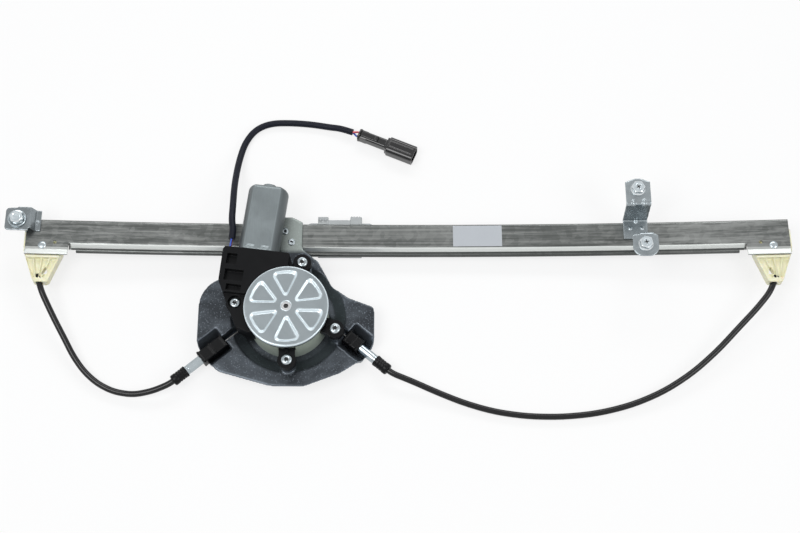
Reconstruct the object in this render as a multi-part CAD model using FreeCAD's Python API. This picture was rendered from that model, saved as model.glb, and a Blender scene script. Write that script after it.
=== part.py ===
"""Power window regulator: curved guide rail, cable drive, gearbox and motor.

Millimetres. The origin is the centre of the drum pan's flat back face, which is
the floor that the regulator lies on. X runs along the rail, Y across it towards
its upper edge and Z up, out of the front of the base plate.
"""
import FreeCAD, Part
import math
import os

V = FreeCAD.Vector
UP = V(0, 0, 1)

# Clearances
slide_gap = 0.4
cable_gap = 0.4
seat_gap = 0.05
shaft_gap = 0.06
rotor_gap = 0.5

# Guide rail, bent about an axis along Y so that both ends rise
rail_length = 650.0
rail_width = 28.0
rail_sheet = 1.2
rail_bend_radius = 4300.0
rail_middle_x = 100.0
rail_middle_y = 72.0
rail_front_z = 16.2
rail_flange_depth = 9.5
rail_lip_depth = 7.0
rail_step = 4.0
rail_step_run = 2.4
rail_land = 3.6
rail_corner = 0.9
rail_tab_length = 36.0
rail_tab_lip = 4.7
rail_tab_drop = 4.35
rail_tab_lip_rise = 1.3
rail_notch = 6.0

# Base plate, pressed from sheet
plate_sheet = 1.5
plate_tab_half_width = 10.0
plate_tab_overhang = 5.6
plate_tab_chamfer = 5.0
dish_radius = 48.0
dish_slope = 9.0
dish_depth = 6.6
pan_radius = 28.5
pan_draft = 1.2
boss_radius = 5.4
boss_top_z = 25.0
trough_floor_z = 5.0
groove_floor_z = 7.0
groove_half_width = 3.0
trough_half_width = 6.0
trough_flare = 6.5

# Cable, drum and the two adjusters
cable_radius = 0.75
cable_z = 11.0
cable_angle = 40.0
drum_cable_radius = 20.0
drum_flange_radius = 23.8
drum_base_z = 3.3
drum_top_z = 18.0
drum_groove_pitch = 2.0
drum_grooves = 5
drum_flange = 1.8
adjuster_start = {-1: 53.0, 1: 47.0}
adjuster_length = {-1: 25.0, 1: 15.0}
adjuster_width = 11.0
adjuster_height = 11.0
adjuster_tube_radius = 4.0
adjuster_tube_wall = 1.0
adjuster_tube_length = {-1: 15.0, 1: 16.5}
adjuster_tube_hold = 7.0
cap_radius = 4.9
cap_length = 14.0
cap_grip = 5.0
conduit_radius = 2.6
conduit_bore = 1.25
conduit_in_cap = 8.0
spring_wire = 0.4
spring_turns = {-1: 6, 1: 2}

# Cable guides at the rail ends, measured inward from the rail end
guide_wheel_in = 23.0
guide_wheel_y = 54.0
guide_groove_radius = 16.0
guide_bottom_z = 5.0
guide_run_z = 10.5
guide_socket = 7.0
guide_lead = 19.0
guide_lean = {-1: 17.7, 1: 24.0}
guide_outline = ((-1.3, 78.0), (-1.3, 57.0), (9.0, 29.5), (21.0, 29.5), (31.0, 56.0), (31.0, 66.0), (25.0, 78.0))
guide_rivet = (14.0, 62.1)
guide_shelf_z = 12.4
guide_mouth = 4.0
guide_flare = 0.5
guide_ribs = 4
guide_rib_width = 1.3
fan_upper_y = 50.8
fan_lower_y = 33.0
fan_from = 0.6
fan_to = 28.6
fan_lower_from = 8.6
fan_narrowing = 0.36
guide_hole = (24.5, 65.0)

# Rivets, pegs and the label
rivet_radius = 2.0
rivet_head_radius = 3.4
locating_radius = 1.5
plate_rivet_places = ((-5.6, 78.0), (0.4, 68.0))
label_from_end = 265.0
label_length = 42.0
label_width = 19.2
label_sheet = 0.2
label_inset = 1.7

# Brackets and their M6 bolts
bracket_sheet = 1.5
bolt_radius = 3.0
bolt_flange_radius = 6.2
bolt_head_flats = 10.0
bolt_head_height = 5.0
bolt_length = 16.0
bolt_relief = 0.6
bolt_relief_depth = 0.5
nut_height = 5.0
nut_flats = 10.0
left_pad_height = 7.5
left_pad_half = 10.0
left_bolt_in = -7.0
left_bolt_y = 81.5
left_strap_width = 19.0
left_strap_upper_y = 93.0
left_strap_reach = 11.5
washer_radius = 7.7
washer_sheet = 1.0
pad_lower_y = 70.0
pad_upper_y = 88.4
right_bracket_s = 195.6
right_bracket_width = 21.0
right_ear_height = 30.0
upper_bolt = (0.0, 103.0)
lower_bolt = (3.4, 52.8)

# Gear train: a single-start worm drives a wheel
worm_z = 33.0
motor_lean = 7.0
centre_distance = 32.0
wheel_teeth = 60
worm_pitch_radius = 5.0
worm_tip = 0.8
worm_core = 3.8
worm_length = 24.0
tooth_thickness = 1.1
tooth_slope = 0.268
wheel_rim_width = 5.0
axle_radius = 4.0
axle_flange_radius = 9.0
hub_radius = 7.4
hub_flats = 13.0
hub_seat_z = 9.0
hub_disc_radius = 22.0
wheel_hub_radius = 12.0
wheel_cup_radius = 23.5
wheel_web = 3.0
damper_top_z = 40.0

# Gearbox housing and cover
cup_wall = 1.6
cup_gap = 1.3
cup_floor_z = 24.0
cup_top_z = 44.0
flange_overhang = 3.8
flange_thickness = 2.0
cover_overhang = 0.4
cover_thickness = 3.5
cover_recess_inner = 9.0
cover_recess_outer = 29.6
cover_recess_angle = 43.0
cover_recess_wall = 1.4
cover_recess_depth = 1.5
arm_bottom_z = 31.0
arm_top_z = 37.5
arm_lug_radius = 7.6
arm_half_width = 6.5
arm_rib_half_width = 1.2
arm_rib_height = 1.6
body_top_z = 41.0
brow_top_z = 46.0
brow_start = 7.0
housing_half = 28.0
screw_circle = 43.3
screw_angles = (74.5, 172.5, 271.5, 337.5)
screw_radius = 2.5
screw_head_radius = 4.55
screw_head_height = 2.7
pale_ring_gap = 0.8
pale_ring_wall = 2.0
pale_ring_top_z = 40.0

# Recesses in the housing's brow: from and to along the motor's axis, then across it
housing_pockets = ((31.5, 41.0, -23.5, -15.0), (17.0, 27.0, -23.0, -7.5), (8.5, 14.0, -20.0, -7.5))
pocket_depth = 5.5
cover_gap = 0.5

# Motor, measured along its axis from the foot of the wheel's centre line
can_start = 47.0
can_end = 111.0
can_width = 34.5
can_thickness = 26.0
can_wall = 1.5
shaft_radius = 2.2
core_radius = 10.8
magnet_inner_radius = 11.4
commutator_radius = 5.0
bush_radius = 3.6
brush_start = 37.0
worm_bore = 6.7
worm_back = -15.0

# Carrier, built where the rail is lowest and then moved along it
carrier_s = -58.5
slider_length = 38.0
slider_bottom_z = 2.2
slider_top_z = 12.2
jaw_height = 14.0
glass_plate_length = 58.0
glass_plate_sheet = 2.0
glass_plate_lower_y = 62.0
glass_plate_upper_y = 92.5
glass_bolt_offset = 23.5
glass_bolt_y = 80.0
glass_bore_radius = 3.25
carrier_rivet_y = 70.0
carrier_rivet_places = (-6.0, 6.0)

# Wires and connector
sleeve_radius = 2.9
lead_radius = 0.85
lead_spread = 1.1
connector_angle = -23.2
connector_height = 13.0
connector_width = 15.5
connector_wall = 1.4
connector_hood_round = 3.6
connector_rear = (56.4, 177.4)
grommet_across = 24.0
grommet_height = 3.0
grommet_radius = 3.2
grommet_length = 4.6
lead_free = 13.0
sleeve_end_gap = 6.0
lead_end_gap = 0.4
wire_hole_apart = 4.4

# Worked out from the sizes above
rail_upper_y = rail_middle_y + rail_width / 2
rail_lower_y = rail_middle_y - rail_width / 2
rail_back_z = rail_front_z - rail_sheet
bend_centre = V(rail_middle_x, 0, rail_front_z + rail_bend_radius)
plate_back_z = rail_front_z + (rail_middle_x + plate_tab_half_width) ** 2 / (2 * rail_bend_radius)
plate_front_z = plate_back_z + plate_sheet
dish_front_z = plate_front_z - dish_depth
wheel_lead = 2 * math.pi * (centre_distance - worm_pitch_radius) / wheel_teeth
cable_run_y = guide_wheel_y + guide_groove_radius
label_s = rail_length / 2 - label_from_end
wheel_tip_radius = centre_distance - worm_pitch_radius + worm_tip + 0.1
cup_radius = wheel_tip_radius + cup_gap + cup_wall
flange_radius = cup_radius + flange_overhang
cover_radius = flange_radius + cover_overhang
pale_ring_radius = cup_radius + pale_ring_gap + pale_ring_wall


def edges_through(points, radii, closed):
    """Straight edges through the points, with an arc of the given radius at each corner."""
    points = [V(*p) for p in points]
    count = len(points)
    starts, ends, arcs = list(points), list(points), []
    for i in range(count):
        if not closed and i in (0, count - 1) or radii[i] <= 0:
            arcs.append(None)
            continue
        come = (points[i] - points[i - 1]).normalize()
        go = (points[(i + 1) % count] - points[i]).normalize()
        half = come.getAngle(go) / 2
        reach = radii[i] * math.tan(half)
        centre = points[i] + (go - come).normalize() * (radii[i] / math.cos(half))
        ends[i] = points[i] - come * reach
        starts[i] = points[i] + go * reach
        middle = centre + (points[i] - centre).normalize() * radii[i]
        arcs.append(Part.Arc(ends[i], middle, starts[i]).toShape())
    edges = []
    for i in range(count if closed else count - 1):
        if arcs[i]:
            edges.append(arcs[i])
        after = (i + 1) % count
        if (ends[after] - starts[i]).Length > 1e-6:
            edges.append(Part.LineSegment(starts[i], ends[after]).toShape())
    return edges


def prism(outline, radius, low, high):
    """Flat outline in X and Y, its corners rounded, raised from one height to another."""
    radii = radius if isinstance(radius, (list, tuple)) else [radius] * len(outline)
    wire = Part.Wire(edges_through([(x, y, low) for x, y in outline], radii, True))
    return Part.Face(wire).extrude(V(0, 0, high - low))


def strip_face(line, sheet, corner, x):
    """Section of bent sheet in the plane at x: the line (y, z) and the sheet on its left."""
    line = [V(0, y, z) for y, z in line]
    count = len(line)
    heads = [(line[i + 1] - line[i]).normalize() for i in range(count - 1)]
    sides = [V(0, -d.z, d.y) for d in heads]
    other, near, far = [], [0.0], [0.0]
    for i in range(count):
        before, after = sides[max(i - 1, 0)], sides[min(i, count - 2)]
        other.append(line[i] + (before + after) * (sheet / (1 + before.dot(after))))
        if 0 < i < count - 1:
            inward = before.dot(heads[i]) > 0
            near.append(corner + sheet if inward else corner)
            far.append(corner if inward else corner + sheet)
    near.append(0.0)
    far.append(0.0)
    shift = V(x, 0, 0)
    one = edges_through([tuple(p + shift) for p in line], near, False)
    two = edges_through([tuple(p + shift) for p in other], far, False)
    joins = [
        Part.LineSegment(line[0] + shift, other[0] + shift).toShape(),
        Part.LineSegment(line[-1] + shift, other[-1] + shift).toShape(),
    ]
    return Part.Face(Part.Wire(Part.__sortEdges__(one + two + joins)))


def cylinder(radius, low, high, x=0.0, y=0.0):
    return Part.makeCylinder(radius, high - low, V(x, y, low))


def cone(low_radius, high_radius, low, high, x=0.0, y=0.0):
    return Part.makeCone(low_radius, high_radius, high - low, V(x, y, low))


def box(x0, x1, y0, y1, z0, z1):
    return Part.makeBox(x1 - x0, y1 - y0, z1 - z0, V(x0, y0, z0))


def hexagon(flats, low, high, x=0.0, y=0.0, turn=0.0):
    reach = flats / math.sqrt(3)
    corners = [math.radians(turn + 60 * i) for i in range(6)]
    return prism([(x + reach * math.cos(a), y + reach * math.sin(a)) for a in corners], 0, low, high)


def fuse(shapes):
    return shapes[0].multiFuse(shapes[1:]).removeSplitter() if len(shapes) > 1 else shapes[0]


def pipe(path, radius):
    """Round bar along a path of straight runs and tangent arcs."""
    spine = Part.Wire(path)
    first = path[0]
    start = first.valueAt(first.FirstParameter)
    circle = Part.Wire(Part.makeCircle(radius, start, first.tangentAt(first.FirstParameter)))
    return spine.makePipeShell([circle], True, False)


def coil(radius, wire, pitch, turns, low):
    """Round wire wound about the Z axis."""
    helix = Part.makeHelix(pitch, pitch * turns, radius)
    circle = Part.Wire(Part.makeCircle(wire, V(radius, 0, 0), V(0, 1, 0)))
    made = Part.Wire(helix).makePipeShell([circle], True, True)
    made.translate(V(0, 0, low))
    return made


def along_rail(shape, s):
    """Move a shape from the rail's lowest point to the distance s along it."""
    moved = shape.copy()
    moved.rotate(bend_centre, V(0, -1, 0), math.degrees(s / rail_bend_radius))
    return moved


def rail_point(x, y, z, s):
    """Where a point given at the rail's lowest point goes when it is moved by s."""
    arm = V(x, y, z) - bend_centre
    turn = FreeCAD.Rotation(V(0, -1, 0), math.degrees(s / rail_bend_radius))
    return bend_centre + turn.multVec(arm)


def rail_run(line, sheet, start, end):
    """Bent sheet of one section along the rail from one distance to another."""
    face = along_rail(strip_face(line, sheet, rail_corner, rail_middle_x), start)
    turn = math.degrees((end - start) / rail_bend_radius)
    return face.revolve(bend_centre, V(0, -1, 0), turn)


def at_end(side, shape):
    """Put a shape, drawn with the rail end at x = 0 and the rail towards +x, on one rail end."""
    placed = shape.copy()
    if side > 0:
        placed = placed.mirror(V(0, 0, 0), V(1, 0, 0))
    placed.translate(V(rail_middle_x, 0, 0))
    return along_rail(placed, side * rail_length / 2)


def end_point(side, inward, y, z):
    """Row position of a point given by its distance inward from one rail end."""
    return rail_point(rail_middle_x - side * inward, y, z, side * rail_length / 2)


def along_cable(side, shape):
    """Put a shape, drawn with the cable along +x from the drum, on one cable's line."""
    placed = shape.copy()
    placed.rotate(V(0, 0, 0), UP, -cable_angle if side > 0 else 180 + cable_angle)
    placed.translate(tangent_point(side))
    return placed


def tangent_point(side):
    turn = math.radians(cable_angle)
    return V(side * drum_cable_radius * math.sin(turn), drum_cable_radius * math.cos(turn), 0)


def cable_point(side, distance):
    turn = math.radians(cable_angle)
    run = V(side * math.cos(turn), -math.sin(turn), 0) * distance
    return tangent_point(side) + run + V(0, 0, cable_z)


def on_motor(shape):
    """Put a shape, drawn along +z with the wheel's side at +x and up at -y, on the motor's axis."""
    placed = shape.copy()
    placed.rotate(V(0, 0, 0), V(1, 0, 0), -90)
    placed.rotate(V(0, 0, 0), UP, -motor_lean)
    placed.translate(motor_foot())
    return placed


def motor_foot():
    lean = math.radians(motor_lean)
    return V(-centre_distance * math.cos(lean), centre_distance * math.sin(lean), worm_z)


def motor_point(along, across, height=0.0):
    """Row position given along the motor's axis, across it towards the wheel, and above it."""
    lean = math.radians(motor_lean)
    run = V(math.sin(lean), math.cos(lean), 0) * along
    return motor_foot() + run + V(math.cos(lean), -math.sin(lean), 0) * across + UP * height


def screw_points():
    turns = [math.radians(a) for a in screw_angles]
    return [(screw_circle * math.cos(a), screw_circle * math.sin(a)) for a in turns]


# Guide rail and what is fixed to it

def guide_rail():
    top, low = rail_upper_y, rail_lower_y
    front, land = rail_front_z, rail_front_z - rail_step
    foot = front - rail_flange_depth
    flange = [(top, foot), (top, front)]
    step_y = low + rail_land
    step = flange + [(step_y + rail_step_run, front), (step_y, land)]
    full = step + [(low, land), (low, front - rail_lip_depth)]
    cut = step + [(low + rail_sheet + rail_corner, land)]
    edge = low - rail_tab_drop
    tab = flange + [(edge + rail_tab_lip, front), (edge, front + rail_tab_lip_rise)]
    half = rail_length / 2
    inner = half - rail_tab_length - rail_notch
    runs = [(full, -inner, inner)]
    for side in (-1, 1):
        ends = sorted((side * inner, side * (half - rail_tab_length)))
        runs.append((cut, *ends))
        ends = sorted((side * (half - rail_tab_length), side * half))
        runs.append((tab, *ends))
    rail = fuse([rail_run(line, rail_sheet, start, end) for line, start, end in runs])
    back, through = rail_back_z - 1, rail_front_z + 1
    holes = []
    for side in (-1, 1):
        for (x, y), radius in ((guide_rivet, rivet_radius + seat_gap), (guide_hole, locating_radius)):
            holes.append(at_end(side, cylinder(radius, back, through, x, y)))
    for x, y in plate_rivet_places:
        holes.append(cylinder(rivet_radius + seat_gap, back - 1, through + 2, x, y))
    return rail.cut(Part.makeCompound(holes))


def left_bracket():
    """Strap on the rail's left end, stepped up to a square pad with the bolt's hole."""
    low = rail_front_z
    high = low + left_pad_height
    step_end = left_pad_half + left_bolt_in
    step_start = -step_end - left_pad_height / 2
    line = [(-left_strap_reach, low), (step_start, low), (-step_end, high), (-left_bolt_in, high)]
    face = strip_face(line, bracket_sheet, rail_corner, 0)
    strap = face.extrude(V(left_strap_width, 0, 0))
    strap.rotate(V(0, 0, 0), UP, 90)
    strap.translate(V(0, left_strap_upper_y - left_strap_width, 0))
    half, x, y = left_pad_half, left_bolt_in, left_bolt_y
    pad = prism([(x - half, y - half), (x + half, y - half), (x + half, left_strap_upper_y), (x - half, y + half)],
                [3, 0, 0, 3], high, high + bracket_sheet)
    clinch = cone(2.0, 1.3, low + bracket_sheet, low + bracket_sheet + 0.6, left_strap_reach - 3.2, y)
    hole = cylinder(bolt_radius + seat_gap, high - 1, high + 3, x, y)
    return at_end(-1, fuse([strap, pad, clinch]).cut(hole))


def flange_bolt(x, y, seat, flats, flange, grip):
    """Bolt with its head on the seat and its shank hanging down, with a thread relief below the nut."""
    relief = seat - grip
    parts = [
        cylinder(flange, seat, seat + 1.2, x, y),
        hexagon(flats, seat + 1.2, seat + bolt_head_height, x, y),
        cylinder(bolt_radius, relief, seat, x, y),
        cylinder(bolt_radius - bolt_relief_depth, relief - bolt_relief, relief, x, y),
        cylinder(bolt_radius, seat - bolt_length, relief - bolt_relief, x, y),
    ]
    socket = cone(1.4, 3.4, seat + bolt_head_height - 1.6, seat + bolt_head_height, x, y)
    return fuse(parts).cut(socket)


def weld_nut(x, y, seat):
    nut = hexagon(nut_flats, seat - nut_height, seat, x, y)
    return nut.cut(cylinder(bolt_radius + seat_gap, seat - nut_height - 1, seat + 1, x, y))


def left_bracket_bolt():
    seat = rail_front_z + left_pad_height + bracket_sheet + washer_sheet
    return at_end(-1, flange_bolt(left_bolt_in, left_bolt_y, seat, bolt_head_flats, bolt_head_flats / 2,
                                    washer_sheet + bracket_sheet + nut_height))


def left_bolt_washer():
    """Dished washer between the bolt and the pad."""
    seat = rail_front_z + left_pad_height + bracket_sheet
    x, y = left_bolt_in, left_bolt_y
    disc = cylinder(washer_radius, seat, seat + washer_sheet, x, y)
    rim = cylinder(washer_radius, seat, seat + washer_sheet + 0.8, x, y)
    rim = rim.cut(cone(washer_radius - 2.2, washer_radius - 1.0, seat, seat + washer_sheet + 0.81, x, y))
    return at_end(-1, fuse([disc, rim]).cut(cylinder(bolt_radius + seat_gap, seat - 1, seat + 4, x, y)))


def right_bracket():
    """Strap clinched across the rail, with a raised ear above it and another below it."""
    low = rail_front_z
    high = low + right_ear_height
    x, half = rail_middle_x, right_bracket_width / 2
    upper_y = upper_bolt[1]
    lower_x, lower_y = lower_bolt
    upper_end = upper_y + 6.5
    line = [(pad_lower_y, low), (pad_upper_y, low), (pad_upper_y + 1.6, high), (upper_end, high)]
    face = strip_face(line, bracket_sheet, rail_corner, x - half)
    strap = face.extrude(V(2 * half, 0, 0))
    arch = prism([(x - half, upper_end - 1), (x + half, upper_end - 1), (x + half, upper_end),
                  (x, upper_end + 4.4), (x - half, upper_end)], [0, 0, 0, 14, 0], high, high + bracket_sheet)
    lower_top = lower_y + 9.5
    line = [(lower_y, high), (lower_top, high), (pad_lower_y, low), (pad_lower_y + 8, low)]
    web = strip_face(line, bracket_sheet, rail_corner, x - 1).extrude(V(half + 1, 0, 0))
    ear_half = 10.7
    ear = prism([(x + lower_x - ear_half, lower_y - ear_half), (x + lower_x + ear_half, lower_y - ear_half),
                 (x + lower_x + ear_half, lower_top - 0.6), (x + lower_x - ear_half, lower_top - 0.6)],
                [8, 8, 2.5, 2.5], high, high + bracket_sheet)
    bumps = [cone(1.5, 0.8, low + bracket_sheet, low + bracket_sheet + 0.6, x + dx, y)
             for dx, y in ((0.5, 85.5), (-4.5, 79.5), (5.5, 79.5))]
    holes = [cylinder(bolt_radius + seat_gap, high - 1, high + 3, x + bx, by)
             for bx, by in (upper_bolt, lower_bolt)]
    bracket = fuse([strap, arch, web, ear] + bumps).cut(Part.makeCompound(holes))
    return along_rail(bracket, right_bracket_s)


def right_bracket_bolts():
    seat = rail_front_z + right_ear_height + bracket_sheet
    places = (upper_bolt, lower_bolt)
    grip = bracket_sheet + nut_height
    bolts = [flange_bolt(rail_middle_x + x, y, seat, bolt_head_flats, bolt_flange_radius, grip) for x, y in places]
    return [along_rail(bolt, right_bracket_s) for bolt in bolts]


def bracket_weld_nuts():
    low = rail_front_z
    places = (upper_bolt, lower_bolt)
    nuts = [weld_nut(rail_middle_x + x, y, low + right_ear_height) for x, y in places]
    nuts = [along_rail(nut, right_bracket_s) for nut in nuts]
    return nuts + [at_end(-1, weld_nut(left_bolt_in, left_bolt_y, low + left_pad_height))]


def blank_label():
    """Thin blank sticker on the web's front, curved as the rail is."""
    upper = rail_upper_y - label_inset
    seat = rail_front_z + seat_gap
    line = [(upper - label_width, seat), (upper, seat)]
    return rail_run(line, label_sheet, label_s - label_length / 2, label_s + label_length / 2)


def cable_guide(side):
    """Plastic guide behind one rail end: a ribbed fan with a curved channel for the cable."""
    top = rail_back_z - 0.1
    body = prism(guide_outline, [3, 1, 3, 3, 2, 2, 3], guide_bottom_z, top)
    start = guide_turn(side)[0]
    socket = Part.makeCylinder(conduit_radius + 1.6, guide_socket, start, start_heading(side))
    body = fuse([body, socket])
    body = body.cut(Part.makeCompound([
        pipe(guide_path(side), conduit_bore),
        Part.makeCylinder(conduit_radius + seat_gap, guide_socket - 1, start, start_heading(side)),
        Part.makeCone(conduit_radius + seat_gap + guide_flare, conduit_radius + seat_gap, guide_mouth,
                      start - start_heading(side) * guide_mouth, start_heading(side)),
        prism([(14.5, 37), (20, 37), (18.5, 45.5)], 1, guide_bottom_z - 1, top + 1),
        cylinder(rivet_radius + seat_gap, 0, top + 1, *guide_rivet),
        cylinder(locating_radius, guide_shelf_z, top + 1, *guide_hole),
    ] + guide_pockets(top)))
    rib = box(-1.3, -0.1, 60, 76, top - 0.5, rail_front_z - 0.1)
    lip = prism([(1.0, 53.0), (30.0, 53.0), (29.2, 50.8), (1.8, 50.8)], 0, top - 1, rail_front_z + 0.2)
    return at_end(side, fuse([body, rib, lip]))


def guide_pockets(top):
    """Hollows between the ribs of the fan, which run together towards the conduit."""
    upper, lower = fan_upper_y, fan_lower_y
    first, last = fan_from, fan_to
    pitch = (last - first) / guide_ribs
    hollows = []
    for i in range(guide_ribs):
        x0, x1 = first + i * pitch + guide_rib_width / 2, first + (i + 1) * pitch - guide_rib_width / 2
        low0, low1 = [fan_lower_from + (x - first) * fan_narrowing for x in (x0, x1)]
        corners = [(low0, lower), (low1, lower), (x1, upper), (x0, upper)]
        hollows.append(prism(corners, 0.3, guide_shelf_z, top + 1))
    return hollows


def start_heading(side):
    lean = math.radians(guide_lean[side])
    return V(-math.sin(lean), math.cos(lean), 0)


def guide_turn(side):
    """Where the conduit ends, where the cable meets the groove and where it leaves, in guide place."""
    lean = math.radians(guide_lean[side])
    centre = V(guide_wheel_in, guide_wheel_y, guide_run_z)
    tangent = centre - V(math.cos(lean), math.sin(lean), 0) * guide_groove_radius
    start = tangent - start_heading(side) * guide_lead
    return start, tangent, centre + V(0, guide_groove_radius, 0)


def guide_arc(side):
    """The cable's turn on the guide, from its tangent point to the rail's direction."""
    _, tangent, leave = guide_turn(side)
    lean = math.radians(guide_lean[side])
    middle = (math.pi + lean + math.pi / 2) / 2
    centre = V(guide_wheel_in, guide_wheel_y, guide_run_z)
    at = centre + V(math.cos(middle), math.sin(middle), 0) * guide_groove_radius
    return Part.Arc(tangent, at, leave).toShape()


def guide_path(side):
    start, tangent, leave = guide_turn(side)
    before = start - start_heading(side)
    return [Part.LineSegment(before, tangent).toShape(), guide_arc(side),
            Part.LineSegment(leave, leave + V(10, 0, 0)).toShape()]


def rivet(x, y, low, high):
    """Rivet through a stack, with a domed head above and a flat one below."""
    dome = cone(rivet_head_radius, rivet_head_radius - 1.2, high, high + 1.1, x, y)
    return fuse([cylinder(rivet_radius, low, high, x, y), dome,
                 cylinder(rivet_head_radius, low - 0.8, low, x, y)])


def guide_rivets():
    x, y = guide_rivet
    return [at_end(side, rivet(x, y, guide_bottom_z, rail_front_z + seat_gap)) for side in (-1, 1)]


def plate_rivets():
    made = []
    for x, y in plate_rivet_places:
        back = rail_point(rail_middle_x, 0, rail_back_z, x + rivet_head_radius - rail_middle_x).z
        made.append(rivet(x, y, back - seat_gap, plate_front_z))
    return made


# Base plate and the drum in its pan

def plate_outline():
    """Outline of the base plate with its tab over the rail, and each corner's radius."""
    tab, top = plate_tab_half_width, rail_upper_y + plate_tab_overhang
    low = rail_lower_y
    return [
        (-tab, top, 3), (1, top, 8), (tab, top - plate_tab_chamfer, 2), (tab, low + 4, 6), (24, low - 8, 6),
        (36, 27.5, 14), (50, 17.5, 10),
        (72, 9, 5), (72, -20, 8), (58, -40, 12), (44, -49, 14), (14, -60.5, 20), (-14, -60, 20), (-58, -47.5, 12),
        (-76, -24, 10), (-76.3, 27, 27), (-52, 38, 10), (-34, 49, 10), (-tab, low - 2, 6),
    ]


def pressed_shapes(wall):
    """Dish, pan and cable troughs, as solids up to the plate's front, grown by the wall."""
    front = plate_front_z + 0.01 - wall * 1.0001
    dish_low = dish_front_z - wall
    grow = wall * 0.55
    shapes = [
        cone(dish_radius - dish_slope + grow, dish_radius + grow, dish_low, front),
        cone(pan_radius + wall, pan_radius + pan_draft + wall, plate_sheet - wall, dish_low + 0.01),
    ]
    for side in (-1, 1):
        start = adjuster_start[side] - 0.3
        groove = box(pan_radius - 14, start + 1, -groove_half_width - wall, groove_half_width + wall,
                     groove_floor_z - wall, front)
        low, high = trough_half_width + wall * 1.1, trough_half_width + trough_flare + wall * 1.1
        floor = trough_floor_z - wall
        corners = ((-low, floor), (low, floor), (high, front), (-high, front), (-low, floor))
        section = Part.makePolygon([V(start - wall, y, z) for y, z in corners])
        trough = Part.Face(section).extrude(V(60, 0, 0))
        shapes += [along_cable(side, groove), along_cable(side, trough)]
    return shapes


def base_plate():
    """Sheet pressed down into a dish, a round pan for the drum and a trough for each adjuster."""
    outline = plate_outline()
    points, radii = [(x, y) for x, y, _ in outline], [r for _, _, r in outline]
    sheet = prism(points, radii, plate_back_z, plate_front_z)
    column = prism(points, radii, 0, plate_front_z)
    solid = fuse([sheet] + [s.common(column) for s in pressed_shapes(plate_sheet)])
    solid = solid.cut(Part.makeCompound(pressed_shapes(0)))
    bosses, hollows = [], []
    for x, y in screw_points():
        bosses.append(cylinder(boss_radius, dish_front_z - plate_sheet, boss_top_z, x, y))
        hollows.append(cylinder(boss_radius - plate_sheet, 0, boss_top_z - plate_sheet, x, y))
        hollows.append(cylinder(screw_radius + seat_gap, 0, boss_top_z + 1, x, y))
    holes = [cylinder(rivet_radius + seat_gap, 10, 30, x, y) for x, y in plate_rivet_places]
    solid = solid.multiFuse(bosses).cut(Part.makeCompound(hollows + holes))
    return fuse([solid] + [bead.common(column) for bead in plate_beads()])


def plate_beads():
    """Pressed stiffening beads that stand up from the plate's flat border."""
    beads = []
    for turn in (200, 226, 300, 322):
        at = math.radians(turn)
        x, y = 57 * math.cos(at), 52 * math.sin(at)
        beads.append(cone(4.2, 3.0, plate_front_z - 0.3, plate_front_z + 0.7, x, y))
    return beads


def axle_pin():
    """Fixed axle with a flange on the pan's floor and a small centre hole in its end."""
    top = cup_top_z + cover_thickness - 0.6
    pin = fuse([cylinder(axle_flange_radius, plate_sheet, plate_sheet + 1.5),
                cylinder(axle_radius, plate_sheet + 1.5, top)])
    return pin.cut(cylinder(2.0, top - 5, top))


def groove_levels():
    middle = (drum_grooves - 1) / 2
    return [cable_z + (i - middle) * drum_groove_pitch for i in range(drum_grooves)]


def cable_drum():
    """Grooved drum; its outer grooves are free for the two cable ends that leave it."""
    barrel = drum_cable_radius - cable_radius - seat_gap
    levels = groove_levels()
    parts = [cylinder(drum_flange_radius, drum_base_z, drum_base_z + drum_flange),
             cylinder(drum_flange_radius, drum_top_z - drum_flange, drum_top_z),
             cylinder(drum_cable_radius - 0.2, drum_base_z, drum_top_z)]
    drum = fuse(parts)
    cuts = [Part.makeTorus(drum_cable_radius, drum_cable_radius - barrel, V(0, 0, z)) for z in levels[1:-1]]
    wide = cable_radius + cable_gap
    for z in (levels[0], levels[-1]):
        ring = cylinder(drum_cable_radius + 3, z - wide, z + wide)
        cuts.append(ring.cut(cylinder(drum_cable_radius - wide, z - wide, z + wide)))
    cuts.append(cylinder(axle_radius + shaft_gap, 0, 40))
    cuts.append(hexagon(hub_flats + 2 * seat_gap, hub_seat_z, 40))
    cuts += [cylinder(3.2, 0, drum_base_z + 3, 13.5 * math.cos(a), 13.5 * math.sin(a))
             for a in [math.radians(60 * i) for i in range(6)]]
    return drum.cut(Part.makeCompound(cuts))


def wound_cable():
    return [Part.makeTorus(drum_cable_radius, cable_radius, V(0, 0, z)) for z in groove_levels()[1:-1]]


def drive_hub():
    """Splined sleeve that carries the wheel's turn down to the drum."""
    shank_top = cup_floor_z - 4
    parts = [hexagon(hub_flats, hub_seat_z + 0.2, shank_top), cylinder(hub_radius, shank_top, damper_top_z),
             cylinder(hub_disc_radius, damper_top_z, damper_top_z + 1.8)]
    parts += [dog_box(i, 0, damper_top_z - 4, damper_top_z) for i in range(3)]
    return fuse(parts).cut(cylinder(axle_radius + shaft_gap, 0, 60))


def dog_box(i, gap, low, high):
    """Block on the hub's disc that reaches down into a slot of the damper."""
    block = box(hub_disc_radius - 6 - gap, hub_disc_radius + gap, -3 - gap, 3 + gap, low, high)
    block.rotate(V(0, 0, 0), UP, 120 * i)
    return block


def wheel_damper():
    """Rubber ring between the wheel and the drive hub."""
    low = worm_z + wheel_web / 2
    ring = cylinder(wheel_cup_radius - seat_gap, low, damper_top_z)
    ring = ring.cut(cylinder(wheel_hub_radius + seat_gap, low, damper_top_z))
    slots = [dog_box(i, seat_gap, damper_top_z - 4.1, damper_top_z + 1) for i in range(3)]
    holes = []
    for i in range(6):
        at = math.radians(60 * i + 30)
        radius = (wheel_cup_radius + wheel_hub_radius) / 2
        holes.append(cylinder(2.2, low - 1, damper_top_z + 1, radius * math.cos(at), radius * math.sin(at)))
    return ring.cut(Part.makeCompound(slots + holes))


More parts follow.
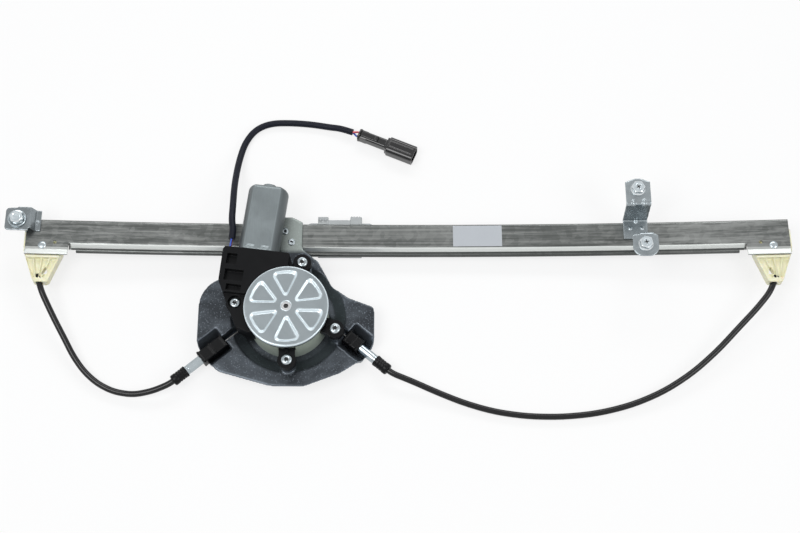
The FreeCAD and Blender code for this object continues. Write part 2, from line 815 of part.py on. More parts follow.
def worm_wheel():
    """Wheel whose teeth are twisted to follow the worm's thread."""
    half = wheel_rim_width / 2
    twist = math.degrees(wheel_lead * math.asin(half / (worm_pitch_radius - 0.4))
                         / (2 * math.pi * (centre_distance - worm_pitch_radius)))
    rim = Part.makeLoft([gear_wire(worm_z - half, -twist), gear_wire(worm_z + half, twist)], True, True)
    rim = rim.cut(cylinder(wheel_cup_radius, worm_z - half - 1, worm_z + half + 1))
    web = wheel_web / 2
    parts = [rim, cylinder(wheel_cup_radius + 0.5, worm_z - web, worm_z + web),
             cylinder(wheel_hub_radius, cup_floor_z + cup_wall + 0.4, damper_top_z - 0.1)]
    wall = cylinder(wheel_cup_radius + 1.4, worm_z, damper_top_z - 0.1)
    parts.append(wall.cut(cylinder(wheel_cup_radius, worm_z, damper_top_z)))
    return fuse(parts).cut(cylinder(hub_radius + seat_gap, 20, 50))


def gear_wire(z, turn):
    """Outline of the wheel's teeth at one height, with a gap facing the worm."""
    pitch_radius = centre_distance - worm_pitch_radius
    tip = centre_distance - worm_core - 0.3
    root = centre_distance - worm_pitch_radius - worm_tip - 0.3
    points = []
    for i in range(wheel_teeth):
        middle = math.radians(180 - motor_lean + turn + 360 * (i + 0.5) / wheel_teeth)
        flank = []
        for radius in (root, tip):
            half = tooth_thickness / 2 - (radius - pitch_radius) * tooth_slope
            flank.append((radius, half / radius))
        for radius, angle in ((flank[0][0], -flank[0][1]), (flank[1][0], -flank[1][1]),
                              (flank[1][0], flank[1][1]), (flank[0][0], flank[0][1])):
            points.append(V(radius * math.cos(middle + angle), radius * math.sin(middle + angle), z))
    return Part.makePolygon(points + [points[0]])


# Adjusters, conduits and the cable

def adjuster_body(side):
    """Block in the plate's trough that the adjuster's tube slides in."""
    start = adjuster_start[side]
    end = start + adjuster_length[side]
    half = adjuster_width / 2
    low, high = cable_z - adjuster_height / 2, cable_z + adjuster_height / 2
    block = box(start, end, -half, half, low, high)
    block = block.makeFillet(1.2, [e for e in block.Edges if abs(e.tangentAt(0).x) > 0.9])
    foot = box(start, end, -half, half, trough_floor_z, low + 2)
    ribs = [box(start + x, start + x + 1.6, -half - 0.4, half + 0.4, trough_floor_z + 1, high + 0.5)
            for x in (0, adjuster_length[side] / 2 - 0.8, adjuster_length[side] - 1.6)]
    bore = Part.makeCylinder(adjuster_tube_radius + seat_gap, adjuster_tube_hold + 0.01,
                             V(end - adjuster_tube_hold, 0, cable_z), V(1, 0, 0))
    pocket = Part.makeCylinder(adjuster_tube_radius - 0.4, adjuster_length[side] - 2.5,
                               V(start + 2.5, 0, cable_z), V(1, 0, 0))
    mouth = Part.makeCylinder(cable_radius + cable_gap, adjuster_length[side], V(start - 1, 0, cable_z), V(1, 0, 0))
    return along_cable(side, fuse([block, foot] + ribs).cut(Part.makeCompound([bore, pocket, mouth])))


def adjuster_tube(side):
    start = adjuster_start[side] + adjuster_length[side] - adjuster_tube_hold
    length = adjuster_tube_hold + adjuster_tube_length[side] + cap_grip
    place, along = V(start, 0, cable_z), V(1, 0, 0)
    bar = Part.makeCylinder(adjuster_tube_radius, length, place, along)
    return along_cable(side, bar.cut(Part.makeCylinder(adjuster_tube_radius - adjuster_tube_wall, length, place,
                                                       along)))


def adjuster_spring(side):
    """Spring in the block, behind the tube, that takes up the cable's slack."""
    room = adjuster_length[side] - adjuster_tube_hold - 2.5
    turns = spring_turns[side]
    pitch = (room - 1.5 * spring_wire) / turns - 0.2
    wound = coil(adjuster_tube_radius - 0.4 - spring_wire - 0.15, spring_wire, pitch, turns, spring_wire)
    wound.rotate(V(0, 0, 0), V(0, 1, 0), 90)
    wound.translate(V(adjuster_start[side] + 2.5 + 0.1, 0, cable_z))
    return along_cable(side, wound)


def cap_start(side):
    return adjuster_start[side] + adjuster_length[side] + adjuster_tube_length[side]


def conduit_cap(side):
    """Cap that holds the conduit's end on the adjuster's tube."""
    start, along = cap_start(side), V(1, 0, 0)
    neck = Part.makeCone(cap_radius, cap_radius - 1.0, 1, V(start + cap_length - 1, 0, cable_z), along)
    body = Part.makeCylinder(cap_radius, cap_length - 1, V(start, 0, cable_z), along)
    cuts = [Part.makeCylinder(adjuster_tube_radius + seat_gap, cap_grip + 0.1, V(start - 0.1, 0, cable_z), along),
            Part.makeCylinder(conduit_radius + seat_gap, conduit_in_cap, V(start + cap_length - conduit_in_cap, 0,
                                                                         cable_z), along),
            Part.makeCylinder(conduit_bore, cap_length, V(start, 0, cable_z), along)]
    return along_cable(side, fuse([body, neck]).cut(Part.makeCompound(cuts)))


# Points between the cap and the guide that each conduit passes near
conduit_route = {
    -1: [(-111.5, -61.0, 8.4), (-128.0, -63.6, 5.6), (-145.0, -60.6, 4.6), (-159.0, -53.6, 5.2),
         (-170.5, -43.6, 7.0), (-180.0, -31.0, 9.2), (-188.0, -16.5, 12.0), (-198.0, 1.0, 15.2)],
    1: [(104.0, -53.0, 8.6), (124.0, -61.5, 6.0), (147.0, -70.5, 4.2), (172.0, -77.6, 3.4),
        (199.0, -81.4, 3.2), (228.0, -81.9, 3.2), (257.0, -79.0, 3.6), (286.0, -72.0, 4.8),
        (313.0, -60.8, 6.8), (338.0, -45.0, 9.4), (360.0, -26.0, 12.4), (377.0, -8.5, 15.4),
        (393.5, 8.0, 18.2)],
}


def flowing_path(points):
    """Straight runs joined by tangent arcs as large as the runs allow."""
    points = [V(*p) for p in points]
    radii = [0.0]
    for i in range(1, len(points) - 1):
        come, go = points[i] - points[i - 1], points[i + 1] - points[i]
        radii.append(0.45 * min(come.Length, go.Length) / math.tan(come.getAngle(go) / 2))
    print("arc radii", [round(r) for r in radii[1:]])
    return edges_through([tuple(p) for p in points], radii + [0.0], False)


def conduit_points(side):
    """Every point of a conduit's route, from inside its cap to inside its guide."""
    inside = cable_point(side, cap_start(side) + cap_length - conduit_in_cap)
    mouth = cable_point(side, cap_start(side) + cap_length + 3.5)
    start = guide_turn(side)[0]
    heading = start_heading(side)
    ends = [start - heading * 9, start + heading * (guide_socket - 1)]
    ends = [end_point(side, p.x, p.y, p.z) for p in ends]
    return [tuple(inside), tuple(mouth)] + conduit_route[side] + [tuple(p) for p in ends]


def conduit(side):
    path = flowing_path(conduit_points(side))
    return pipe(path, conduit_radius).cut(pipe(path, conduit_bore))


def lift_cable():
    """Cable from the drum through both conduits, round both guides and along the rail."""
    return [cable_half(side) for side in (-1, 1)]


def cable_half(side):
    """One side of the cable, as far as the middle of the carrier."""
    levels = groove_levels()
    leave = tangent_point(side) + V(0, 0, levels[0] if side < 0 else levels[-1])
    inside = cable_point(side, cap_start(side) + cap_length - conduit_in_cap)
    enter = cable_point(side, adjuster_start[side] - 3)
    edges = edges_through([tuple(leave), tuple(enter), tuple(inside)], [0, 60, 0], False)
    edges += flowing_path(conduit_points(side))
    start, tangent, run = guide_turn(side)
    near = start + start_heading(side) * (guide_socket - 1)
    edges.append(at_end(side, Part.LineSegment(near, tangent).toShape()))
    edges.append(at_end(side, guide_arc(side)))
    first = side * (rail_length / 2 - run.x)
    middle = (first + carrier_s) / 2
    ends = [end_point(side, *run)] + [rail_point(rail_middle_x, run.y, run.z, s) for s in (middle, carrier_s)]
    edges.append(Part.Arc(*ends).toShape())
    return pipe(edges, cable_radius)


# Gearbox housing, its cover and the pale ring round it

def housing_outline():
    """Plan of the worm's side of the housing, from the motor's left corner."""
    left, right = motor_point(can_start - 0.5, -housing_half), motor_point(can_start - 0.5, housing_half)
    return [(left.x, left.y), (-56.7, 23.2), (-49.9, 5.0), (-41.5, -15.5), (-31.8, -20.5), (-19.0, -22.0),
            (0.0, 0.0), (6.0, 28.0), (right.x, right.y)]


def housing_block(gap, low, high):
    wire = Part.Wire(edges_through([(x, y, low) for x, y in housing_outline()], [3, 8, 8, 7, 7, 0, 0, 0, 3], True))
    face = Part.Face(wire)
    if gap:
        face = Part.Face(wire.makeOffset2D(gap))
    return face.extrude(V(0, 0, high - low))


def arm(i, gap=0.0):
    """Arm from the cup to one screw, with a round lug at its end."""
    x, y = screw_points()[i]
    bar = box(cup_radius - 3, screw_circle, -arm_half_width - gap, arm_half_width + gap,
              arm_bottom_z - gap, arm_top_z + gap)
    bar.rotate(V(0, 0, 0), UP, screw_angles[i])
    return bar.fuse(cylinder(arm_lug_radius + gap, arm_bottom_z - gap, arm_top_z + gap, x, y))


def arm_rib(i, gap=0.0):
    """Narrow rib along the top of one arm."""
    half = arm_rib_half_width + gap
    rib = box(cup_radius - 3, screw_circle - 4 + gap, -half, half, arm_top_z - 1, arm_top_z + arm_rib_height + gap)
    rib.rotate(V(0, 0, 0), UP, screw_angles[i])
    return rib


def gearbox_housing():
    """Cup for the worm wheel, case for the worm and socket for the motor, in one moulding."""
    parts = [cylinder(cup_radius, cup_floor_z, cup_top_z), housing_block(0, cup_floor_z, body_top_z),
             cylinder(flange_radius, cup_top_z - flange_thickness, cup_top_z), housing_brow()]
    across = housing_half - 1
    mouth = box(-across, across, -can_thickness / 2, can_thickness / 2, brush_start - 1.5, can_start - 0.1)
    parts.append(on_motor(mouth))
    for i, (x, y) in enumerate(screw_points()):
        parts += [arm(i), cylinder(boss_radius - 0.4, boss_top_z, arm_bottom_z, x, y)]
        parts.append(arm_rib(i))
    cuts = [cylinder(cup_radius - cup_wall, cup_floor_z + cup_wall, 99),
            cylinder(hub_radius + rotor_gap, cup_floor_z - 1, cup_floor_z + 3),
            motor_bar(worm_bore, worm_back, 20), motor_bar(bush_radius + seat_gap, worm_back - 5.2, worm_back + 1),
            motor_bar(shaft_radius + 1.0, 19, can_start), motor_bar(bush_radius + seat_gap, 22.9, 28.1),
            on_motor(box(-14, 14, -10.8, 10.8, brush_start, can_start + 1)),
            grommet_bar(grommet_radius, grommet_length)]
    for x, y in screw_points():
        cuts.append(cylinder(screw_radius + 0.3, 10, 60, x, y))
        cuts.append(cylinder(boss_radius + 0.3, 10, boss_top_z, x, y))
        cuts.append(cylinder(screw_head_radius + 1.2, arm_top_z, 60, x, y))
    for low, high, near, far in housing_pockets:
        top = brow_top_z - worm_z
        cuts.append(on_motor(box(near, far, -top - 1, pocket_depth - top, low, high)))
    return fuse(parts).cut(Part.makeCompound(cuts))


def housing_brow():
    """Raised face over the worm, from the motor to the first screw, clear of the cover."""
    low, high = body_top_z - worm_z - 1, brow_top_z - worm_z
    along = on_motor(box(-housing_half, housing_half, -high, -low, brow_start, can_start - 0.5))
    brow = along.common(housing_block(0, body_top_z - 1, brow_top_z))
    return brow.cut(cylinder(cover_radius + cover_gap, 0, 99))


def motor_bar(radius, start, end, hole=0.0):
    """Round bar, or ring, on the motor's axis."""
    bar = cylinder(radius, start, end)
    return on_motor(bar.cut(cylinder(hole, start - 1, end + 1)) if hole else bar)


def gear_cover():
    """Round cover with six rounded triangular recesses and a hole for the axle."""
    top = cup_top_z + cover_thickness
    disc = cylinder(cover_radius, cup_top_z, top)
    disc = disc.makeFillet(1.2, [e for e in disc.Edges if abs(e.BoundBox.ZMin - top) < 0.01 and e.Closed])
    spigot = cylinder(cup_radius - cup_wall - seat_gap, cup_top_z - 1.5, cup_top_z)
    spigot = spigot.cut(cylinder(cup_radius - cup_wall - 2.5, 0, cup_top_z))
    cuts = [cylinder(axle_radius + seat_gap, 0, 99)]
    for i in range(6):
        high = cover_recess(0, top + 0.01)
        low = cover_recess(cover_recess_wall, top - cover_recess_depth)
        recess = Part.makeLoft([high, low], True, True)
        recess.rotate(V(0, 0, 0), UP, 33 + 60 * i)
        cuts.append(recess)
    return fuse([disc, spigot]).cut(Part.makeCompound(cuts))


def cover_recess(inset, z):
    """Outline of one recess of the cover at a height, drawn in from its edge by the inset."""
    apex, base = cover_recess_inner + 2 * inset, cover_recess_outer - inset
    spread = math.tan(math.radians(cover_recess_angle / 2))
    tip, wide = 1.2, cover_recess_outer * spread - 1.9 * inset
    corners = [(apex, -tip, z), (base, -wide, z), (base + 1.2, 0, z), (base, wide, z), (apex, tip, z)]
    return Part.Wire(edges_through(corners, [0.9, 3.0, 20, 3.0, 0.9], True))


def drum_cover():
    """Pale ring on the plate's dish that closes the drum's pan and shields the cup."""
    inner = pale_ring_radius - pale_ring_wall
    ring = cylinder(pale_ring_radius, dish_front_z, pale_ring_top_z).cut(cylinder(inner, 0, 99))
    floor = cylinder(inner + 0.5, drum_top_z + 1.2, drum_top_z + 2.8).cut(cylinder(hub_radius + 1.6, 0, 99))
    cover = fuse([ring, floor])
    cuts = [arm(i, 0.5).fuse(arm_rib(i, 0.5)) for i in range(4)] + [housing_block(0.5, cup_floor_z - 0.5, 60)]
    cuts += [along_cable(side, box(20, 45, -2.2, 2.2, 5, groove_levels()[-1] + 1.4)) for side in (-1, 1)]
    cuts.append(on_motor(box(-30, 30, -14, 14, brush_start - 2, can_start)))
    for x, y in screw_points():
        cuts.append(cylinder(boss_radius + 0.5, 0, 60, x, y))
    solids = cover.cut(Part.makeCompound(cuts)).Solids
    return max(solids, key=lambda s: s.Volume)


def motor_screws():
    """Four pan-head screws with a lobed socket, through the lugs into the plate's bosses."""
    made = []
    for x, y in screw_points():
        top = arm_top_z + screw_head_height
        head = cylinder(screw_head_radius, arm_top_z, top, x, y)
        head = head.makeFillet(1.3, [e for e in head.Edges if e.Closed and abs(e.BoundBox.ZMin - top) < 0.01])
        lobes = [cylinder(0.62, top - 1.5, top + 1, x + 1.45 * math.cos(a), y + 1.45 * math.sin(a))
                 for a in [math.radians(60 * i) for i in range(6)]]
        socket = cylinder(1.5, top - 1.5, top + 1, x, y).multiFuse(lobes)
        shank = cylinder(screw_radius, boss_top_z - 6, arm_top_z, x, y)
        made.append(fuse([head, shank]).cut(socket))
    return made


# Motor

def can_shape(radius, half_height, start, end):
    bar = cylinder(radius, start, end)
    return bar.common(box(-radius - 1, radius + 1, -half_height, half_height, start, end))


def motor_can():
    """Drawn steel can with flat front and back, and a small boss for the rear bush."""
    shoulder = can_end - 4
    radius, half = can_width / 2, can_thickness / 2
    outer = can_shape(radius, half, can_start, shoulder)
    rim = [e for e in outer.Edges if abs(e.BoundBox.ZMin - shoulder) < 0.01]
    outer = outer.makeFillet(3.5, rim)
    boss = cone(bush_radius + 4.2, bush_radius + 2.2, shoulder - 0.5, can_end)
    inner = can_shape(radius - can_wall, half - can_wall, can_start - 1, shoulder - can_wall)
    seat = cylinder(bush_radius + 1.2, shoulder - 3, can_end - 1.2)
    slots = [box(x, x + 7.2, -half - 1, -half + 0.8, can_start + 1.6, can_start + 3.4) for x in (-9.6, 2.6)]
    can = fuse([outer, boss]).cut(Part.makeCompound([inner, seat] + slots))
    return on_motor(can)


def motor_magnets():
    """Two curved magnets on the can's round sides."""
    outer = can_width / 2 - can_wall - 0.1
    ring = cylinder(outer, can_start + 6, can_start + 46).cut(cylinder(magnet_inner_radius, 0, 200))
    return [on_motor(ring.common(box(low, low + 20, -8, 8, 0, 200))) for low in (-20, 0)]


def brush_card():
    """Card in the motor's mouth that holds the two brushes against the commutator."""
    card = box(-13.7, 13.7, -10.6, 10.6, can_start - 2.4, can_start - 0.1)
    holders = [box(*sorted((side * (commutator_radius + 1.0), side * 13.4)), -3.4, 3.4, can_start - 9,
                   can_start - 2.4) for side in (-1, 1)]
    cuts = [box(*sorted((side * commutator_radius, side * 12.4)), -2.2, 2.2, can_start - 7.6, can_start - 2.5)
            for side in (-1, 1)]
    cuts.append(cylinder(commutator_radius + 0.8, 0, 200))
    return on_motor(fuse([card] + holders).cut(Part.makeCompound(cuts)))


def carbon_brushes():
    ends = [sorted((side * (commutator_radius + 0.1), side * 11.5)) for side in (-1, 1)]
    return [on_motor(box(*end, -2.1, 2.1, can_start - 7.5, can_start - 2.6)) for end in ends]


def shaft_bushes():
    hole = shaft_radius + shaft_gap
    rear = can_end - 1.2
    return [motor_bar(bush_radius, worm_back - 5, worm_back, hole), motor_bar(bush_radius, 23, 28, hole),
            motor_bar(bush_radius + 1.15, rear - 4.5, rear, hole)]


def armature_shaft():
    """Shaft with the worm cut on it."""
    half = worm_length / 2
    turns = math.ceil(half / wheel_lead) + 1
    helix = Part.makeHelix(wheel_lead, 2 * turns * wheel_lead, worm_pitch_radius)
    low, high = worm_core - 0.3, worm_pitch_radius + worm_tip
    points = []
    for radius, sign in ((low, -1), (high, -1), (high, 1), (low, 1)):
        wide = tooth_thickness / 2 - (radius - worm_pitch_radius) * tooth_slope
        points.append(V(radius, 0, sign * wide))
    thread = Part.Wire(helix).makePipeShell([Part.makePolygon(points + [points[0]])], True, True)
    thread.translate(V(0, 0, -turns * wheel_lead))
    thread = thread.common(cylinder(high + 1, -half, half))
    worm = thread.fuse(cylinder(worm_core, -half - 0.5, half + 0.5))
    shaft = cylinder(shaft_radius, worm_back - 4.8, can_end - 1.6)
    return on_motor(worm.fuse(shaft))


def armature_core():
    start, end = can_start + 8, can_start + 42
    core = cylinder(core_radius, start, end).cut(cylinder(shaft_radius, 0, 200))
    slots = []
    for i in range(10):
        slot = fuse([box(core_radius - 2, core_radius + 1, -0.7, 0.7, start - 1, end + 1),
                     cylinder(1.5, start - 1, end + 1, core_radius - 3, 0)])
        slot.rotate(V(0, 0, 0), UP, 36 * i)
        slots.append(slot)
    return on_motor(core.cut(Part.makeCompound(slots)))


def armature_windings():
    """End turns of the winding, one bundle at each end of the core."""
    start, end = can_start + 8, can_start + 42
    ends = []
    for low, high in ((start - 4.5, start), (end, end + 4.5)):
        bundle = cylinder(core_radius - 1.2, low, high)
        bundle = bundle.makeFillet(1.6, [e for e in bundle.Edges if e.Closed])
        ends.append(on_motor(bundle.cut(cylinder(shaft_radius + seat_gap, 0, 200))))
    return ends


def commutator():
    bar = cylinder(commutator_radius, can_start - 9.5, can_start + 1.5).cut(cylinder(shaft_radius, 0, 200))
    slots = []
    for i in range(10):
        slot = box(commutator_radius - 0.8, commutator_radius + 1, -0.2, 0.2, can_start - 9, can_start)
        slot.rotate(V(0, 0, 0), UP, 36 * i)
        slots.append(slot)
    return on_motor(bar.cut(Part.makeCompound(slots)))


# Carrier

def carrier_slider():
    """Plastic slider with a jaw round each edge of the rail and a slot for the cable."""
    half = slider_length / 2
    x = rail_middle_x
    x0, x1 = x - half, x + half
    low, top = slider_bottom_z, slider_top_z
    upper, lower = rail_upper_y, rail_lower_y
    foot = rail_front_z - rail_flange_depth - slide_gap
    inner = lower + rail_sheet + slide_gap
    flat = rail_front_z - rail_step - rail_sheet - slide_gap
    body = box(x0, x1, inner, upper - rail_sheet - slide_gap, low, top)
    step = box(x0 - 1, x1 + 1, lower, lower + rail_land + rail_sheet + 2 * slide_gap, flat, top + 1)
    base = box(x0, x1, inner, upper + slide_gap + 4.6, low, foot)
    panel = box(x0 + 8.5, x1 - 9.5, upper + slide_gap, upper + slide_gap + 4.6, low, jaw_height - 0.8)
    ends = [box(x0, x0 + 9, upper + slide_gap, upper + 7.6, low, jaw_height),
            box(x1 - 10, x1, upper + slide_gap, upper + 7.6, low, jaw_height)]
    pegs = [cylinder(1.3, jaw_height - 1, jaw_height + 1.6, x0 + px, upper + 4.4) for px in (2.2, 6.6)]
    ribs = [box(x1 - 9.6 + 2.4 * i, x1 - 8.6 + 2.4 * i, upper + 7, upper + 8.4, low + 1, jaw_height)
            for i in range(4)]
    cuts = [box(x0 - 1, x1 + 1, cable_run_y - 1.3, cable_run_y + 1.3, guide_run_z - 1.3, top + 1)]
    for side in (-1, 1):
        cuts.append(box(*sorted((x + side * (half + 1), x + side * (half - 9))), cable_run_y - 2.7,
                        cable_run_y + 2.7, guide_run_z - 2.7, top + 1))
        cuts.append(box(*sorted((x + side * (half - 11), x + side * 3)), 61.2, 65.8, 5, top + 1))
        cuts.append(box(*sorted((x + side * (half - 3), x + side * 3)), 74.5, 82, 5, top + 1))
    cuts += [cylinder(rivet_radius + seat_gap, 0, 40, x + dx, carrier_rivet_y) for dx in carrier_rivet_places]
    cuts += [cylinder(rivet_head_radius + 0.3, 5.2, 40, x + dx, carrier_rivet_y) for dx in carrier_rivet_places]
    body = body.cut(step)
    slider = fuse([body, base, panel] + ends + pegs + ribs).cut(Part.makeCompound(cuts))
    return along_rail(slider, carrier_s)


def glass_plate():
    """Steel plate under the slider that the window glass is bolted to."""
    x, half = rail_middle_x, glass_plate_length / 2
    top = slider_bottom_z
    low = top - glass_plate_sheet
    y0, y1 = glass_plate_lower_y, glass_plate_upper_y
    plate = prism([(x - half, y0), (x + half, y0), (x + half, y1), (x - half, y1)], 4, low, top)
    holes = [cylinder(glass_bore_radius, low - 1, top + 1, x + side * glass_bolt_offset, glass_bolt_y)
             for side in (-1, 1)]
    holes += [cylinder(rivet_radius + seat_gap, 0, 9, x + dx, carrier_rivet_y) for dx in carrier_rivet_places]
    holes += [cone(rivet_head_radius + 0.2, rivet_radius + seat_gap, low - 0.01, low + 1.1, x + dx, carrier_rivet_y)
              for dx in carrier_rivet_places]
    return along_rail(plate.cut(Part.makeCompound(holes)), carrier_s)


def carrier_rivets():
    """Countersunk rivets that join the slider to its plate."""
    made = []
    low = slider_bottom_z - glass_plate_sheet
    for dx in carrier_rivet_places:
        x, y = rail_middle_x + dx, carrier_rivet_y
        made.append(fuse([cylinder(rivet_radius, low + 0.5, 5.2, x, y), cylinder(rivet_head_radius, 5.2, 6.4, x, y),
                          cone(rivet_head_radius, rivet_radius, low, low + 1.0, x, y)]))
    return [along_rail(r, carrier_s) for r in made]


def cable_nipples():
    """Crimped ends of the cable, one in each pocket of the slider."""
    made = []
    for side in (-1, 1):
        start = rail_middle_x + side * (slider_length / 2 - 8.6)
        place, way = V(start, cable_run_y, guide_run_z), V(side, 0, 0)
        bar = Part.makeCylinder(2.6, 7, place, way).cut(Part.makeCylinder(cable_radius + cable_gap, 9, place - way,
                                                                         way))
        made.append(along_rail(bar, carrier_s))
    return made


# Wires and connector

def grommet_bar(radius, length):
    """Bar at the wires' way out of the housing, pointing out along the motor."""
    place = motor_point(can_start - 2.6, -grommet_across, grommet_height)
    return Part.makeCylinder(radius, length, place, lead_way())


def lead_way():
    return (motor_point(1, 0) - motor_foot()).normalize()


def wire_grommet():
    """Ring that the two wires leave the housing through."""
    collar = motor_point(can_start - 0.1, -grommet_across, grommet_height)
    flange = Part.makeCylinder(grommet_radius + 0.9, 1.4, collar, lead_way())
    body = grommet_bar(grommet_radius - seat_gap, grommet_length).fuse(flange)
    return body.cut(Part.makeCompound(lead_holes())).removeSplitter()


def lead_holes():
    return [pipe([Part.LineSegment(a, b).toShape()], lead_radius + seat_gap) for a, b in motor_lead_ends()]


def motor_lead_ends():
    """Start and end of the two short wires between the grommet and the sleeve."""
    way = lead_way()
    base = motor_point(can_start - 2.6, -grommet_across, grommet_height)
    apart = [UP * lead_spread, UP * -lead_spread]
    return [(base + shift, base + way * (lead_free - lead_end_gap) + shift) for shift in apart]


# Points that the sleeve passes near, from the grommet over the rail to the floor
sleeve_route = [
    (-49.6, 81.0, 34.6), (-49.8, 99.0, 29.5), (-50.6, 118.0, 21.5), (-50.4, 137.0, 12.5), (-48.8, 155.0, 5.8),
    (-45.0, 171.0, 3.5), (-36.5, 184.0, 3.2), (-23.0, 190.4, 3.2), (-5.0, 190.8, 3.2), (14.0, 189.3, 3.2),
    (31.0, 186.2, 3.4),
]


def connector_turn(shape):
    """Put a shape, drawn from the connector's back towards its mouth along +x, in its place."""
    placed = shape.copy()
    placed.rotate(V(0, 0, 0), UP, connector_angle)
    placed.translate(V(connector_rear[0], connector_rear[1], 0))
    return placed


def connector_spot(along, across, height):
    turn = math.radians(connector_angle)
    return V(connector_rear[0] + along * math.cos(turn) - across * math.sin(turn),
             connector_rear[1] + along * math.sin(turn) + across * math.cos(turn), height)


def sleeve_points():
    way = lead_way()
    base = motor_point(can_start - 2.6, -grommet_across, grommet_height) + way * lead_free
    middle = connector_height / 2
    end = connector_spot(-sleeve_end_gap, 0, middle)
    before = connector_spot(-sleeve_end_gap - 11, 0, middle - 1.2)
    return [tuple(base), tuple(base + way * 9 + V(0, 0, -0.3))] + sleeve_route + [tuple(before), tuple(end)]


def lead_sleeve():
    return pipe(flowing_path(sleeve_points()), sleeve_radius)


def lead(which):
    """One wire: its short stretch at the grommet and the one at the connector."""
    first, last = motor_lead_ends()[which]
    sign = (-1, 1)[which]
    middle = connector_height / 2
    start, side, height = lead_end_gap - sleeve_end_gap, sign * wire_hole_apart / 2, middle + sign * lead_spread
    path = [connector_spot(start, 0, height), connector_spot(start + 1.1, 0, height),
            connector_spot(-1.6, side, middle), connector_spot(4.0, side, middle)]
    bend = edges_through([tuple(p) for p in path], [0, 2, 4, 0], False)
    return [pipe([Part.LineSegment(first, last).toShape()], lead_radius), pipe(bend, lead_radius)]


def connector_shell():
    """Two-way connector: waisted body, rear collar and a rounded hood round the mouth."""
    high, half = connector_height, connector_width / 2
    middle, wall = high / 2, connector_wall
    rear = box(0, 8.5, -4.2, 4.2, 2.0, high - 2.6)
    collar = Part.makeCylinder(5.9, 1.6, V(0.6, 0, middle), V(1, 0, 0))
    collar = collar.common(box(0, 3, -5.6, 5.6, 0.8, high - 0.8))
    body = box(3, 30, -4.2, 4.2, 1.8, high - 2.0)
    body = body.makeFillet(1.8, [e for e in body.Edges if abs(e.tangentAt(0).x) > 0.9])
    hood = prism([(29, -half), (54, -half), (54, half), (29, half)], 0, 0, high)
    hood = hood.makeFillet(connector_hood_round, [e for e in hood.Edges if abs(e.tangentAt(0).x) > 0.9])
    shoulder = box(27, 30, -5.8, 5.8, 1.0, high - 1.2)
    ridge = box(30.5, 52, -2.6, 2.6, high - 2, high + 0.7)
    mouth = box(34, 60, -half + wall, half - wall, wall, high - wall)
    mouth = mouth.makeFillet(connector_hood_round - wall, [e for e in mouth.Edges if abs(e.tangentAt(0).x) > 0.9])
    wires, pins = [], []
    for y in (-wire_hole_apart / 2, wire_hole_apart / 2):
        wires.append(Part.makeCylinder(lead_radius + seat_gap, 4.1, V(-0.1, y, middle), V(1, 0, 0)))
        pins.append(box(3.9, 40, y - 1.2, y + 1.2, middle - 0.55, middle + 0.55))
    shell = fuse([rear, collar, body, shoulder, hood, ridge])
    return connector_turn(shell.cut(Part.makeCompound([mouth] + wires + pins)))


def connector_lock():
    """Sliding lock on the connector's narrow part, with its hook."""
    high = connector_height
    clip = box(3.2, 19, -2.6, 2.6, high - 1.95, high - 0.6)
    hook = box(16.5, 19, -2.6, 2.6, high - 1.95, high + 0.2)
    return connector_turn(fuse([clip, hook]))


def connector_terminals():
    half = connector_height / 2
    wide = wire_hole_apart / 2
    return [connector_turn(box(4.0, 46, s * wide - 1.15, s * wide + 1.15, half - 0.5, half + 0.5)) for s in (-1, 1)]


def write_parts():
    """Write every piece as one STEP file, named as the piece is."""
    shapes = {
        "guide_rail": guide_rail(), "left_bracket": left_bracket(), "left_bracket_bolt": left_bracket_bolt(),
        "left_bolt_washer": left_bolt_washer(), "right_bracket": right_bracket(),
        "right_bracket_bolts": right_bracket_bolts(), "bracket_weld_nuts": bracket_weld_nuts(),
        "blank_label": blank_label(), "left_cable_guide": cable_guide(-1), "right_cable_guide": cable_guide(1),
        "guide_rivets": guide_rivets(), "plate_rivets": plate_rivets(), "base_plate": base_plate(),
        "axle_pin": axle_pin(), "cable_drum": cable_drum(), "wound_cable": wound_cable(),
        "drive_hub": drive_hub(), "wheel_damper": wheel_damper(), "worm_wheel": worm_wheel(),
        "lift_cable": lift_cable(), "gearbox_housing": gearbox_housing(), "gear_cover": gear_cover(),
        "drum_cover": drum_cover(), "motor_screws": motor_screws(), "motor_can": motor_can(),
        "motor_magnets": motor_magnets(), "brush_card": brush_card(), "carbon_brushes": carbon_brushes(),
        "shaft_bushes": shaft_bushes(), "armature_shaft": armature_shaft(), "armature_core": armature_core(),
        "armature_windings": armature_windings(), "commutator": commutator(),
        "carrier_slider": carrier_slider(), "glass_plate": glass_plate(), "carrier_rivets": carrier_rivets(),
        "cable_nipples": cable_nipples(), "wire_grommet": wire_grommet(), "lead_sleeve": lead_sleeve(),
        "blue_lead": lead(0), "red_lead": lead(1), "connector_shell": connector_shell(),
        "connector_lock": connector_lock(), "connector_terminals": connector_terminals(),
    }
    for side, word in ((-1, "left"), (1, "right")):
        shapes[word + "_adjuster_body"] = adjuster_body(side)
        shapes[word + "_adjuster_tube"] = adjuster_tube(side)
        shapes[word + "_adjuster_spring"] = adjuster_spring(side)
        shapes[word + "_conduit_cap"] = conduit_cap(side)
        shapes[word + "_conduit"] = conduit(side)
    os.makedirs("parts", exist_ok=True)
    for name, shape in shapes.items():
        solids = shape if isinstance(shape, list) else [shape]
        whole = Part.makeCompound([s for one in solids for s in one.Solids])
        whole.exportStep(f"parts/{name}.step")
        box_of = whole.BoundBox
        spans = ((box_of.XMin, box_of.XMax), (box_of.YMin, box_of.YMax), (box_of.ZMin, box_of.ZMax))
        print(name, len(whole.Solids), "solids", "valid" if whole.isValid() else "NOT VALID",
              " ".join(f"{low:.1f}..{high:.1f}" for low, high in spans))


write_parts()
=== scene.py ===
"""Power window regulator: the looks of its pieces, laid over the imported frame."""
import math

import bmesh
import bpy
from mathutils import Matrix, Vector


